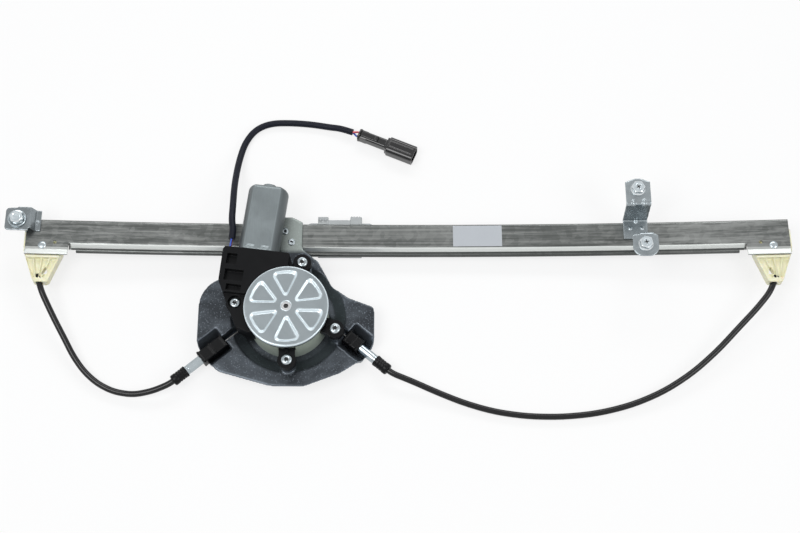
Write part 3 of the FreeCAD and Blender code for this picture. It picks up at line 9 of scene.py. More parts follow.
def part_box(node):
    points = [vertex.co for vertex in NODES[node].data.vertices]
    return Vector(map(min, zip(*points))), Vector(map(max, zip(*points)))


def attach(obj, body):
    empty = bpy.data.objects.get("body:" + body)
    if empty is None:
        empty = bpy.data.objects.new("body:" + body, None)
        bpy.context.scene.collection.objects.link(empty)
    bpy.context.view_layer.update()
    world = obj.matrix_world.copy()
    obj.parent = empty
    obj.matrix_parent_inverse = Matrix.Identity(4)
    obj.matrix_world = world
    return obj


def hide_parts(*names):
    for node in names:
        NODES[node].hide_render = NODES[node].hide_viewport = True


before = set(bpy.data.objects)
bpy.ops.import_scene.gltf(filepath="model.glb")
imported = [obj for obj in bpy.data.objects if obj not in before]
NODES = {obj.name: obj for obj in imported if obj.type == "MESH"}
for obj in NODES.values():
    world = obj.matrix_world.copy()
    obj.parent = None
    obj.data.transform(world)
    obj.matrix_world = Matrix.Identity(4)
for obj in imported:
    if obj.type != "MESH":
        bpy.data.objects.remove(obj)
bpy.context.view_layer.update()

bl_info = {
    "name": "Window Regulator",
    "version": (1, 0, 0),
    "blender": (4, 5, 0),
    "location": "View3D > Sidebar > Regulator",
    "description": "Dresses the window regulator's frame, piece by piece",
    "category": "Object",
}

MM = 0.001

# Places and sizes of the frame's pieces, in millimetres. The rail's web steps back between STEP_END_Y and
# STEP_Y with a painted highlight, and the land beside the step carries painted shade down to STEP_SHADE_Y.

RAIL_MIDDLE_X, RAIL_FRONT_Z, RAIL_BEND = 100.0, 16.2, 4300.0
RAIL_HALF, RAIL_TAB = 325.0, 38.0
STEP_SHADE_Y, STEP_Y, STEP_END_Y, TAB_EDGE_Y = 60.0, 61.6, 64.2, 60.6
PLATE_TAB_Y, PLATE_TAB_HALF = 59.5, 13.5
GUIDE_FACE_Z = 16.5

# Brackets, bolts, rivets and screws. x is counted from the rail's middle or its end, and for the plate's
# rivets from the drum's axis. The third number of a bolt is its turn in radians.

STRAP, EAR_RISE, PAD_RISE, WASHER = 1.5, 30.0, 7.5, 1.0
RIGHT_BRACKET_ALONG = 195.6
GUSSETS, GUSSET_RADIUS = ((-4.4, 90.6), (4.4, 90.6)), 2.3
EAR_BOLTS = ((0.0, 103.0, 0.5), (3.4, 52.8, 0.2))
PAD_BOLT = (-7.0, 81.5, 0.3)
GUIDE_RIVET_IN, GUIDE_RIVET_Y = 14.0, 62.1
PLATE_RIVETS, PLATE_RIVET_HEAD = ((-5.6, 78.0), (0.4, 68.0)), 1.1
SCREW_CIRCLE, SCREW_ANGLES, SCREW_SEAT = 43.3, (74.5, 172.5, 271.5, 337.5), 37.5

# The cables' straight lines, the motor and its connector. -1 is the left side and 1 the right.

CABLE_ANGLE = math.radians(40)
DRUM_CABLE_RADIUS, CABLE_Z = 20.0, 11.0
CAP_START = {-1: 93.0, 1: 78.5}
TUBE_START = {-1: 71.0, 1: 55.0}
WORM_Z, CENTRE_DISTANCE, MOTOR_LEAN = 33.0, 32.0, math.radians(7)
GROMMET_ALONG, GROMMET_OUT, GROMMET_RISE = 44.4, 24.0, 3.0
CONNECTOR_REAR, CONNECTOR_TURN, CONNECTOR_MIDDLE = (56.4, 177.4), math.radians(-23.2), 6.5


def colour(name, default):
    """One colour that a user may change."""
    return bpy.props.FloatVectorProperty(
        name=name, description=name + " colour", subtype="COLOR", size=3, min=0, max=1, default=default)


def length(name, default, text):
    """One size in metres that a user may change."""
    return bpy.props.FloatProperty(
        name=name, description=text, default=default, min=0, unit="LENGTH", precision=5)


class RegulatorColours(bpy.types.PropertyGroup):
    rail_light: colour("Rail, bright", (0.205, 0.213, 0.208))
    rail_dark: colour("Rail, dull", (0.098, 0.104, 0.101))
    plate_dark: colour("Base plate", (0.032, 0.037, 0.043))
    plate_light: colour("Base plate tab", (0.20, 0.225, 0.215))
    zinc: colour("Zinc plating", (0.26, 0.29, 0.305))
    can: colour("Motor can", (0.155, 0.178, 0.185))
    cover: colour("Gear cover", (0.235, 0.265, 0.28))
    drum_ring: colour("Drum cover", (0.36, 0.41, 0.35))
    black: colour("Black moulding", (0.0042, 0.0045, 0.0052))
    ivory: colour("Cable guides", (0.73, 0.72, 0.55))
    slider: colour("Carrier slider", (0.36, 0.38, 0.385))
    sleeve: colour("Lead sleeve", (0.0050, 0.0060, 0.0110))
    conduit: colour("Conduit", (0.0045, 0.0045, 0.0052))
    blue: colour("Blue lead", (0.035, 0.085, 0.42))
    red: colour("Red lead", (0.62, 0.075, 0.095))
    label: colour("Label", (0.42, 0.445, 0.475))


class RegulatorSizes(bpy.types.PropertyGroup):
    bolt_flange: length("Bolt flange radius", 0.0062, "Radius of the flange on the bracket bolts")
    bolt_flats: length("Bolt head width", 0.0100, "Width of the bolt heads across their flats")
    bolt_shank: length("Bolt shank radius", 0.0030, "Outer radius of the bolts' thread")
    screw_head: length("Screw head radius", 0.00455, "Radius of the motor screws' heads")
    rivet_head: length("Rivet head radius", 0.0034, "Radius of the rivets' domed heads")
    sleeve: length("Sleeve diameter", 0.0058, "Diameter of the sleeve over the motor's leads")
    plate_voxel: length("Plate detail", 0.0008, "Size of the finest detail kept on the pressed plate")


# Shader maths

class Socket:
    """Wraps a node's output so that values can be written as expressions."""

    def __init__(self, tree, out):
        self.tree, self.out = tree, out

    def join(self, operation, *values, clamp=False):
        """One Math node on these values."""
        settings = {"operation": operation, "use_clamp": clamp}
        return self.tree.node("ShaderNodeMath", settings, dict(enumerate(values)))

    def __add__(self, other):
        return self.join("ADD", self, other)

    def __sub__(self, other):
        return self.join("SUBTRACT", self, other)

    def __rsub__(self, other):
        return self.join("SUBTRACT", other, self)

    def __mul__(self, other):
        return self.join("MULTIPLY", self, other)

    __radd__, __rmul__ = __add__, __mul__

    def above(self, edge, soft):
        """0 below the edge and 1 above it, over a soft width."""
        return self.join("MULTIPLY_ADD", self, 1 / soft, 0.5 - edge / soft, clamp=True)

    def below(self, edge, soft):
        """1 below the edge and 0 above it, over a soft width."""
        return self.join("MULTIPLY_ADD", self, -1 / soft, 0.5 + edge / soft, clamp=True)

    def size(self):
        """The value without its sign."""
        return self.join("ABSOLUTE", self)

    def clamped(self):
        """The value kept between 0 and 1."""
        return self.join("ADD", self, 0, clamp=True)


class Paint:
    """One material's node tree."""

    def __init__(self, name, **fixed):
        self.material = bpy.data.materials.new(name)
        self.material.use_nodes = True
        self.nodes, self.links = self.material.node_tree.nodes, self.material.node_tree.links
        self.nodes.clear()
        self.shader = self.nodes.new("ShaderNodeBsdfPrincipled")
        output = self.nodes.new("ShaderNodeOutputMaterial")
        self.links.new(self.shader.outputs[0], output.inputs[0])
        for key, value in fixed.items():
            self.shader.inputs[key.replace("_", " ")].default_value = value
        self.place = self.node("ShaderNodeTexCoord", {}, {}, "Object")

    def node(self, kind, settings, inputs, output=0):
        """One node: its settings come first, and then the values or links of its inputs."""
        made = self.nodes.new(kind)
        for key, value in settings.items():
            if key == "stops":
                ramp = made.color_ramp
                while len(ramp.elements) < len(value):
                    ramp.elements.new(0.5)
                for element, (at, tone) in zip(ramp.elements, value):
                    element.position = at
                    element.color = (*tone, 1)
            else:
                setattr(made, key, value)
        for key, value in inputs.items():
            socket = made.inputs[key]
            if isinstance(value, Socket):
                self.links.new(value.out, socket)
            elif socket.type == "RGBA":
                socket.default_value = (*value[:3], 1)
            else:
                socket.default_value = value
        return Socket(self, made.outputs[output])

    def stretched(self, scale, turn=0.0):
        """Object place in metres, turned about Z and scaled along each axis."""
        inputs = {"Vector": self.place, "Rotation": (0, 0, turn), "Scale": scale}
        return self.node("ShaderNodeMapping", {}, inputs)

    def noise(self, scale, detail=3.0, rough=0.55, at=None, warp=0.0):
        inputs = {"Vector": at or self.place, "Scale": scale, "Detail": detail}
        inputs.update({"Roughness": rough, "Distortion": warp})
        return self.node("ShaderNodeTexNoise", {}, inputs)

    def cells(self, scale, output="Color"):
        """One plain tone for each cell, or the distance from the cell's middle."""
        return self.node("ShaderNodeTexVoronoi", {}, {"Vector": self.place, "Scale": scale}, output)

    def grey(self, tint):
        return self.node("ShaderNodeRGBToBW", {}, {"Color": tint})

    def parts(self, vector):
        """The X, Y and Z of a vector."""
        made = self.node("ShaderNodeSeparateXYZ", {}, {"Vector": vector})
        return [Socket(self, out) for out in made.out.node.outputs]

    def axes(self):
        """Object place in metres, along each axis."""
        return self.parts(self.place)

    def upward(self):
        """How far the surface faces up: 1 on top, 0 on a wall and -1 below."""
        return self.parts(self.node("ShaderNodeNewGeometry", {}, {}, "Normal"))[2]

    def ramp(self, value, stops):
        """Colours that follow one another as the value rises."""
        return self.node("ShaderNodeValToRGB", {"stops": stops}, {"Fac": value})

    def mix(self, share, one, two):
        """One colour where the share is 0 and the other where it is 1."""
        return self.node("ShaderNodeMix", {"data_type": "RGBA"}, {0: share, 6: one, 7: two}, 2)

    def set(self, **values):
        """Values or links of the shader's own inputs."""
        for key, value in values.items():
            socket = self.shader.inputs[key.replace("_", " ")]
            if isinstance(value, Socket):
                self.links.new(value.out, socket)
            else:
                socket.default_value = (*value, 1) if socket.type == "RGBA" else value
        return self

    def relief(self, height, strength, distance, edge=0.0):
        """Bump from a height, over edges rounded by a radius where one is given."""
        inputs = {"Height": height, "Strength": strength, "Distance": distance}
        if edge:
            inputs["Normal"] = self.node("ShaderNodeBevel", {"samples": 6}, {"Radius": edge})
        return self.set(Normal=self.node("ShaderNodeBump", {}, inputs))


def shade(tint, by):
    """A colour made darker or lighter, white at the most."""
    return tuple(min(1.0, part * by) for part in tint)


# Finishes

def galvanised_rail(tint):
    """Zinc-coated strip, streaked lengthwise by the rollers and blotched by the bath, with painted light on
    it:
    brighter towards the right, a painted highlight on the step and painted shade on the land beside it.
    """
    paint = Paint("galvanised_rail", Metallic=0.92)
    x, y = paint.axes()[:2]
    streak = paint.noise(1.0, 5, 0.6, paint.stretched((4, 420, 420)))
    fine = paint.noise(1.0, 4, 0.7, paint.stretched((20, 2600, 2600)))
    cloud = paint.noise(9, 4, 0.5, warp=0.2)
    flower = paint.grey(paint.cells(240))
    # Painted light: the rail's tone grows brighter towards its right end.
    painted_light_to_right = (x - 0.05) * 0.12
    level = streak * 0.46 + fine * 0.20 + cloud * 0.28 + flower * 0.06 + painted_light_to_right
    tone = paint.ramp(level, [(0.36, shade(tint.rail_dark, 0.75)), (0.47, tint.rail_dark),
                              (0.58, tint.rail_light), (0.74, shade(tint.rail_light, 1.4))])
    inner = (x - RAIL_MIDDLE_X * MM).size().below((RAIL_HALF - RAIL_TAB) * MM, 0.001)
    crisp = 0.0004
    # Painted highlight on the sloped step of the web.
    painted_slope_highlight = y.above(STEP_Y * MM, crisp) * y.below(STEP_END_Y * MM, crisp) * inner
    tone = paint.mix(painted_slope_highlight * 0.85, tone, shade(tint.rail_light, 4.0))
    # Painted shade on the land beside the step, down to STEP_SHADE_Y.
    foot = y.above(STEP_SHADE_Y * MM, crisp) * y.below(STEP_Y * MM, crisp) * inner
    tone = paint.mix(foot * 0.8, tone, shade(tint.rail_dark, 0.35))
    speck = paint.cells(900, "Distance")
    lower = y.below(STEP_SHADE_Y * MM, 0.0006)
    tone = paint.mix(lower * 0.6, tone, shade(tint.rail_dark, 0.7))
    tone = paint.mix(lower * speck.below(0.26, 0.1) * 0.5, tone, (0.04, 0.04, 0.04))
    tab = y.below(TAB_EDGE_Y * MM, 0.0008) * (1 - inner) * (0.66 - streak * 0.3)
    tone = paint.mix(tab, tone, shade(tint.rail_light, 3.0))
    paint.set(Base_Color=tone, Roughness=streak * 0.10 + cloud * 0.10 + 0.22)
    return paint.relief(streak * 0.5 + flower * 0.06 + fine * 0.12, 0.10, 0.0003, 0.0005)


def galvanised_plate(tint):
    """Dark galvanised pressing with fine speckle, brighter where the tab was left flat, with a painted
    highlight on its steep walls.
    """
    paint = Paint("galvanised_plate", Metallic=0.82)
    x, y = paint.axes()[:2]
    speck = paint.grey(paint.cells(1250))
    grain = paint.noise(900, 4, 0.75)
    smear = paint.noise(26, 3, 0.5, paint.stretched((1, 1.8, 1), 0.7), warp=0.3)
    band = paint.noise(14, 3, 0.5, warp=0.3)
    flake = speck.above(0.80, 0.16) * grain.above(0.5, 0.2)
    dark = paint.mix(flake, tint.plate_dark, shade(tint.plate_dark, 5.0))
    dark = paint.mix(((smear - 0.46) * 2.4).clamped(), dark, shade(tint.plate_dark, 3.4))
    # Painted highlight on the plate's steep walls.
    pressed = (1 - paint.upward().size()).above(0.22, 0.40)
    dark = paint.mix(pressed * 0.75, dark, shade(tint.plate_dark, 6.0))
    light = paint.mix(band, shade(tint.plate_light, 0.85), shade(tint.plate_light, 1.2))
    light = paint.mix(speck.above(0.75, 0.2) * 0.35, light, shade(tint.plate_light, 1.5))
    tab = y.above(PLATE_TAB_Y * MM, 0.004) * x.size().below(PLATE_TAB_HALF * MM, 0.002)
    paint.set(Base_Color=paint.mix(tab, dark, light),
              Roughness=smear * 0.16 + grain * 0.14 + 0.16 + tab * 0.12)
    return paint.relief(grain * 0.5 + speck * 0.3 + smear * 0.5, 0.16, 0.0003)


def zinc(name, tint, bright=1.0, rough=0.22, edge=0.0004):
    """Zinc plating: cool grey with faint flowers and handling marks, and a painted highlight on sloping
    faces.
    """
    paint = Paint(name, Metallic=0.95)
    flower = paint.grey(paint.cells(420))
    cloud = paint.noise(70, 5, 0.62, warp=0.6)
    scratch = paint.noise(1, 3, 0.6, paint.stretched((300, 2600, 300), 0.5))
    level = (flower * 0.2 + cloud * 0.8 - 0.02).clamped()
    # Painted highlight on the faces that slope away from the top.
    painted_slope_highlight = paint.upward().below(0.82, 0.2)
    tone = paint.mix(level, shade(tint, 0.72 * bright), shade(tint, 1.28 * bright))
    tone = paint.mix(painted_slope_highlight * 0.4, tone, shade(tint, 2.0 * bright))
    paint.set(Base_Color=tone, Roughness=cloud * 0.16 + flower * 0.03 + rough - 0.05)
    return paint.relief(cloud * 0.5 + scratch * 0.2 + flower * 0.04, 0.12, 0.0003, edge)


def drawn_tube(tint):
    """Bright tube with the long marks of its drawing."""
    paint = Paint("adjuster_chrome", Metallic=1.0)
    soil = paint.noise(160, 4, 0.6)
    mark = paint.noise(900, 3, 0.6)
    tone = paint.mix(soil, shade(tint, 1.35), shade(tint, 1.75))
    paint.set(Base_Color=tone, Roughness=soil * 0.12 + 0.06)
    return paint.relief(mark, 0.08, 0.0001, 0.0003)


def coated_can(tint):
    """Passivated drawn can: even satin grey with cloudy patches and faint drawing lines, painted shade on its
    rounded sides and a painted highlight on the bevels beside its flat front.
    """
    paint = Paint("motor_steel", Metallic=0.55)
    cloud = paint.noise(48, 5, 0.6, warp=0.5)
    line = paint.noise(1, 3, 0.6, paint.stretched((1500, 60, 1500), -MOTOR_LEAN))
    grain = paint.noise(1600, 2, 0.6)
    upward = paint.upward()
    # Painted shade on the can's rounded sides, and a painted highlight on the bevels beside its flat front.
    side = upward.below(0.72, 0.3)
    rim = upward.below(0.97, 0.03) * upward.above(0.72, 0.1)
    tone = paint.mix((cloud * 1.1 + line * 0.4 - 0.25).clamped(), shade(tint, 0.72), shade(tint, 1.3))
    tone = paint.mix(side * 0.55, paint.mix(rim * 0.3, tone, shade(tint, 1.9)), shade(tint, 0.45))
    paint.set(Base_Color=tone, Roughness=cloud * 0.14 + grain * 0.06 + 0.30)
    return paint.relief(grain * 0.4 + cloud * 0.5 + line * 0.2, 0.10, 0.0003)


def stamped_cover(tint):
    """Stamped plate of the gear cover: smooth light grey, with a painted highlight on the steep pressed
    edges.
    """
    paint = Paint("cover_steel", Metallic=0.75)
    cloud = paint.noise(60, 4, 0.55, warp=0.3)
    grain = paint.noise(2100, 2, 0.6)
    # Painted highlight on the steep edges of the pressings.
    painted_slope_highlight = (1 - paint.upward().size()).above(0.06, 0.12)
    tone = paint.mix(cloud, shade(tint, 0.88), shade(tint, 1.12))
    tone = paint.mix(painted_slope_highlight * 0.9, tone, shade(tint, 3.0))
    paint.set(Base_Color=tone, Roughness=cloud * 0.12 + grain * 0.05 + 0.26)
    return paint.relief(grain * 0.4 + cloud * 0.3, 0.07, 0.0002)


def moulding(name, tint, rough, grain_size=1700, grain_depth=0.1, sheen=1.1, edge=0.0004, gloss=0.5):
    """Injection moulding: even colour, fine grain, paler rubbed patches that are partly painted sheen."""
    paint = Paint(name, Specular_IOR_Level=gloss)
    grain = paint.noise(grain_size, 3, 0.65)
    flow = paint.noise(42, 4, 0.6, warp=0.7)
    # Paler streaks: partly rubbed patches, partly painted sheen.
    scuff_and_sheen = paint.noise(1, 4, 0.7, paint.stretched((420, 90, 300), 0.9)).above(0.63, 0.10)
    tone = paint.mix(flow, shade(tint, 0.86), shade(tint, 1.14))
    tone = paint.mix(scuff_and_sheen * 0.35, tone, shade(tint, sheen))
    paint.set(Base_Color=tone, Roughness=flow * 0.16 + grain * 0.06 + rough - 0.08)
    return paint.relief(grain + flow * 0.6, grain_depth, 0.0002, edge)


def ivory_moulding(tint):
    """Natural acetal, yellowed a little where it is thick."""
    paint = Paint("ivory_moulding", Subsurface_Weight=0.25, Subsurface_Radius=(0.004, 0.003, 0.0015),
                  Subsurface_Scale=0.6)
    flow = paint.noise(90, 4, 0.6, warp=0.8)
    grain = paint.noise(1500, 2, 0.6)
    z = paint.axes()[2]
    deep = (flow * 0.9 + (GUIDE_FACE_Z * MM - z) * 18).clamped()
    tone = paint.mix(deep, shade(tint, 1.12), (tint[0] * 0.90, tint[1] * 0.84, tint[2] * 0.62))
    paint.set(Base_Color=tone, Roughness=flow * 0.14 + 0.30)
    return paint.relief(grain + flow, 0.10, 0.0002, 0.0004)


def ridged_sleeve(tint):
    """Limp vinyl sleeve with soft creases along and across it."""
    paint = Paint("sleeve_black", Specular_IOR_Level=0.14)
    crease = paint.noise(150, 4, 0.62, warp=0.6)
    grain = paint.noise(1900, 3, 0.6)
    dust = paint.noise(30, 5, 0.7)
    tone = paint.mix((dust * 1.3 - 0.3).clamped(), tint, shade(tint, 1.9))
    paint.set(Base_Color=tone, Roughness=crease * 0.2 + 0.36)
    return paint.relief(crease * 1.0 + grain * 0.12, 0.35, 0.0006)


def glossy_sheath(name, tint, rough=0.22, coat=0.2):
    """Glossy black skin with small ripples."""
    paint = Paint(name, Coat_Weight=coat, Coat_Roughness=0.04, Specular_IOR_Level=0.2)
    ripple = paint.noise(260, 3, 0.5)
    haze = paint.noise(60, 4, 0.6)
    tone = paint.mix(haze, shade(tint, 0.8), shade(tint, 1.8))
    paint.set(Base_Color=tone, Roughness=haze * 0.16 + rough - 0.06)
    return paint.relief(ripple + haze * 0.5, 0.10, 0.0003)


def insulation(name, tint):
    """Slightly glossy skin of one lead."""
    paint = Paint(name, Coat_Weight=0.2)
    flow = paint.noise(320, 3, 0.6)
    paint.set(Base_Color=paint.mix(flow, shade(tint, 0.8), shade(tint, 1.25)), Roughness=flow * 0.2 + 0.28)
    return paint.relief(flow, 0.10, 0.0002)


def blank_film(tint):
    """Plain label film: pale, satin and a little wavy."""
    paint = Paint("label_white", Coat_Weight=0.25, Coat_Roughness=0.2)
    fibre = paint.noise(700, 4, 0.6)
    curl = paint.noise(60, 3, 0.5)
    paint.set(Base_Color=paint.mix(fibre * 0.6 + curl * 0.4, shade(tint, 0.95), shade(tint, 1.04)),
              Roughness=curl * 0.15 + 0.32)
    return paint.relief(fibre * 0.4 + curl, 0.06, 0.0002)


def bare_metal(name, tint, metal=1.0, rough=0.3, scale=500):
    """Turned, sintered or stranded metal inside the unit."""
    paint = Paint(name, Metallic=metal)
    grain = paint.noise(scale, 4, 0.65)
    cloud = paint.noise(scale / 8, 3, 0.55)
    tone = paint.mix(cloud * 0.6 + grain * 0.4, shade(tint, 0.78), shade(tint, 1.2))
    paint.set(Base_Color=tone, Roughness=grain * 0.18 + rough - 0.05)
    return paint.relief(grain + cloud * 0.4, 0.15, 0.0002, 0.0002)


# Modelling

def fresh():
    """Leave edit mode and select nothing."""
    if bpy.context.object and bpy.context.object.mode == "EDIT":
        bpy.ops.object.mode_set(mode="OBJECT")
    bpy.ops.object.select_all(action="DESELECT")


def only(piece):
    """Select one piece alone."""
    fresh()
    piece.select_set(True)
    bpy.context.view_layer.objects.active = piece
    return piece


# How far each outline stands out at an angle, as a share of its radius

RINGS = {
    "round": lambda a: 1.0,
    "hex": lambda a: 1 / math.cos((a + math.pi / 6) % (math.pi / 3) - math.pi / 6),
    "lobes": lambda a: 1 + 0.17 * math.cos(6 * a),
    "cross": lambda a: 0.36 + 0.64 * abs(math.cos(2 * a)) ** 5,
    "scallops": lambda a: 1 + 0.03 * math.cos(12 * a),
}


def turned(name, steps, sides=48):
    """One ring extruded through (radius, height, outline) steps in millimetres, closed at both ends."""
    fresh()
    bpy.ops.mesh.primitive_circle_add(vertices=sides, radius=steps[0][0] * MM, fill_type="NGON")
    piece = bpy.context.object
    piece.name = name
    bpy.ops.object.mode_set(mode="EDIT")
    bpy.ops.mesh.select_all(action="SELECT")
    for i, (radius, height, *kind) in enumerate(steps):
        if i:
            bpy.ops.mesh.extrude_region_move()
        outline = RINGS[kind[0] if kind else "round"]
        mesh = bmesh.from_edit_mesh(piece.data)
        for vert in mesh.verts:
            if vert.select:
                angle = math.atan2(vert.co.y, vert.co.x)
                reach = radius * outline(angle) * MM
                vert.co = (reach * math.cos(angle), reach * math.sin(angle), height * MM)
        bmesh.update_edit_mesh(piece.data)
    bpy.ops.mesh.select_all(action="SELECT")
    bpy.ops.mesh.normals_make_consistent(inside=False)
    only(piece)
    bpy.ops.object.shade_smooth_by_angle(angle=math.radians(34))
    return piece


def finish_with(piece, *modifiers):
    """Add each (kind, settings) modifier and apply it."""
    only(piece)
    for kind, settings in modifiers:
        made = piece.modifiers.new(kind.title(), kind)
        for key, value in settings.items():
            setattr(made, key, value)
        bpy.ops.object.modifier_apply(modifier=made.name)
    return piece


def joined(name, pieces):
    """Several pieces made one, under a new name."""
    fresh()
    for piece in pieces:
        piece.select_set(True)
    bpy.context.view_layer.objects.active = pieces[0]
    bpy.ops.object.join()
    pieces[0].name = name
    return pieces[0]


def settled(piece, matrix):
    """Move a piece to its place and leave the place in its mesh."""
    piece.matrix_world = matrix
    only(piece)
    bpy.ops.object.transform_apply(location=True, rotation=True, scale=True)
    return piece


def repeated(name, piece, matrices):
    """One copy of a piece at each place, joined, in place of the piece."""
    made = []
    for matrix in matrices:
        only(piece)
        bpy.ops.object.duplicate()
        made.append(settled(bpy.context.object, matrix))
    only(piece)
    bpy.ops.object.delete()
    return joined(name, made)


def softened(name, node, voxel, rounds, extras=()):
    """Copy of a frame node with the rounded edges that pressing or moulding leaves."""
    piece = bpy.data.objects.new(name, NODES[node].data.copy())
    bpy.context.scene.collection.objects.link(piece)
    piece.data.materials.clear()
    only(piece)
    bpy.ops.object.mode_set(mode="EDIT")
    bpy.ops.mesh.select_all(action="SELECT")
    bpy.ops.mesh.remove_doubles(threshold=0.00001)
    if extras:
        joined(name, [piece, *extras])
    finish_with(piece, ("REMESH", {"mode": "VOXEL", "voxel_size": voxel * MM}),
                ("SMOOTH", {"factor": 0.5, "iterations": rounds}))
    bpy.ops.object.shade_smooth()
    return piece


def dressed(piece, paint, body, replaces=()):
    """Give a new piece its finish and the body it moves with, and hide the nodes it stands in for."""
    piece.data.materials.clear()
    piece.data.materials.append(paint.material)
    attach(piece, body)
    if replaces:
        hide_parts(*replaces)
    return piece


def socket_floors(name, radius, height, places, outline="round"):
    """Thin dark discs of painted shade on the socket floors in a row of screws, bolts or rivets."""
    # The discs are painted shade; soil is their thickness.
    soil = 0.05
    disc = turned(name, [(radius, height - soil, outline), (radius, height, outline)])
    paint = bare_metal(name + "_soil", (0.018, 0.018, 0.018), metal=0.4, rough=0.55, scale=900)
    return dressed(repeated(name, disc, places), paint, "root")


def coated(paint, *nodes):
    """Give frame nodes their finish."""
    for name in nodes:
        mesh = NODES[name].data
        mesh.materials.clear()
        mesh.materials.append(paint.material)


# Places

def rail_place(x, y, z, s, turn=0.0):
    """Matrix of a spot given at the rail's lowest point and carried along its bend by s."""
    centre = Vector((RAIL_MIDDLE_X, 0, RAIL_FRONT_Z + RAIL_BEND)) * MM
    bend = Matrix.Rotation(s / RAIL_BEND, 4, Vector((0, -1, 0)))
    spot = Matrix.Translation(Vector((x, y, z)) * MM - centre) @ Matrix.Rotation(turn, 4, "Z")
    return Matrix.Translation(centre) @ bend @ spot


def cable_place(side, distance):
    """Matrix whose Z runs outward along one cable's straight line, at a distance from the drum."""
    along = Vector((side * math.cos(CABLE_ANGLE), -math.sin(CABLE_ANGLE), 0))
    start = Vector((side * math.sin(CABLE_ANGLE), math.cos(CABLE_ANGLE), 0)) * DRUM_CABLE_RADIUS
    spot = start + along * distance + Vector((0, 0, CABLE_Z))
    return Matrix.Translation(spot * MM) @ along.to_track_quat("Z", "Y").to_matrix().to_4x4()


def connector_axis(along, lift):
    """A point on the connector's axis, behind its rear where along is negative, in millimetres."""
    way = Vector((math.cos(CONNECTOR_TURN), math.sin(CONNECTOR_TURN), 0))
    return Vector((*CONNECTOR_REAR, CONNECTOR_MIDDLE + lift)) + way * along


def tints():
    """The colours that a user may change."""
    return bpy.context.scene.regulator_colours


def sizes():
    """The sizes that a user may change."""
    return bpy.context.scene.regulator_sizes


# Pieces

class REGULATOR_OT_guide_rail(bpy.types.Operator):
    """Finish the guide rail and its blank label"""
    bl_idname = "regulator.guide_rail"
    bl_label = "Guide Rail"

    def execute(self, context):
        coated(galvanised_rail(tints()), "guide_rail")
        coated(blank_film(tints().label), "blank_label")
        return {"FINISHED"}


class REGULATOR_OT_brackets(bpy.types.Operator):
    """Round the pressed edges of the two brackets and add the gussets in the bend"""
    bl_idname = "regulator.brackets"
    bl_label = "Brackets"

    def execute(self, context):
        paint = zinc("zinc_bracket", tints().zinc)
        gussets = []
        for x, y in GUSSETS:
            fresh()
            bpy.ops.mesh.primitive_uv_sphere_add(
                segments=16, ring_count=8, radius=GUSSET_RADIUS * MM, scale=(0.8, 1.4, 1.1))
            gusset = bpy.context.object
            place = rail_place(RAIL_MIDDLE_X + x, y, RAIL_FRONT_Z + EAR_RISE, RIGHT_BRACKET_ALONG)
            gussets.append(settled(gusset, place @ gusset.matrix_world))
        right = softened("right_bracket_pressing", "right_bracket", voxel=0.5, rounds=3, extras=gussets)
        dressed(right, paint, "root", ["right_bracket"])
        left = softened("left_bracket_pressing", "left_bracket", voxel=0.45, rounds=3)
        # The left bracket takes a darker copy of the zinc: painted shade.
        dull = zinc("zinc_bracket_painted_shade", shade(tints().zinc, 0.72))
        dressed(left, dull, "root", ["left_bracket"])
        return {"FINISHED"}


def bolt(name, flange, head, cross):
    """Hex flange bolt, its flange's seat at height 0: chamfered head, recess and rolled thread."""
    size = sizes()
    flats, shank = size.bolt_flats / MM / 2, size.bolt_shank / MM
    top, thread_start, thread_end = 5.0, -1.5, -15.5
    rim = [(flange, 0), (flange, 0.5), (flange - 0.5, 1.0), (head + 0.5, 1.5), (head, 1.55)]
    base = turned(name + "_flange", rim)
    if cross:
        recess = [(2.9, top), (2.6, top - 0.25), (2.3, top - 0.3, "cross"), (1.6, top - 1.5, "cross")]
    else:
        recess = [(3.5, top), (2.9, top - 0.5), (1.2, top - 0.65)]
    hexagon = [(flats - 0.1, 0.9, "hex"), (flats, 1.2, "hex"), (flats, top - 0.8, "hex")]
    chamfer = [(flats * 0.985, top - 0.35), (flats * 0.9, top)]
    crown = turned(name + "_head", hexagon + chamfer + recess, sides=72)
    plain, root = shank - 0.05, shank - 0.45
    thread = [(plain, 0.2), (plain, thread_start)]
    for i in range(14):
        low = thread_start - i
        thread += [(root, low - 0.25), (root, low - 0.35), (shank, low - 0.8), (shank, low - 1.0)]
    thread = [step for step in thread if step[1] > thread_end + 0.1]
    thread += [(shank - 0.5, thread_end), (shank - 0.9, thread_end - 0.5)]
    rod = turned(name + "_thread", thread, sides=28)
    return joined(name, [base, crown, rod])


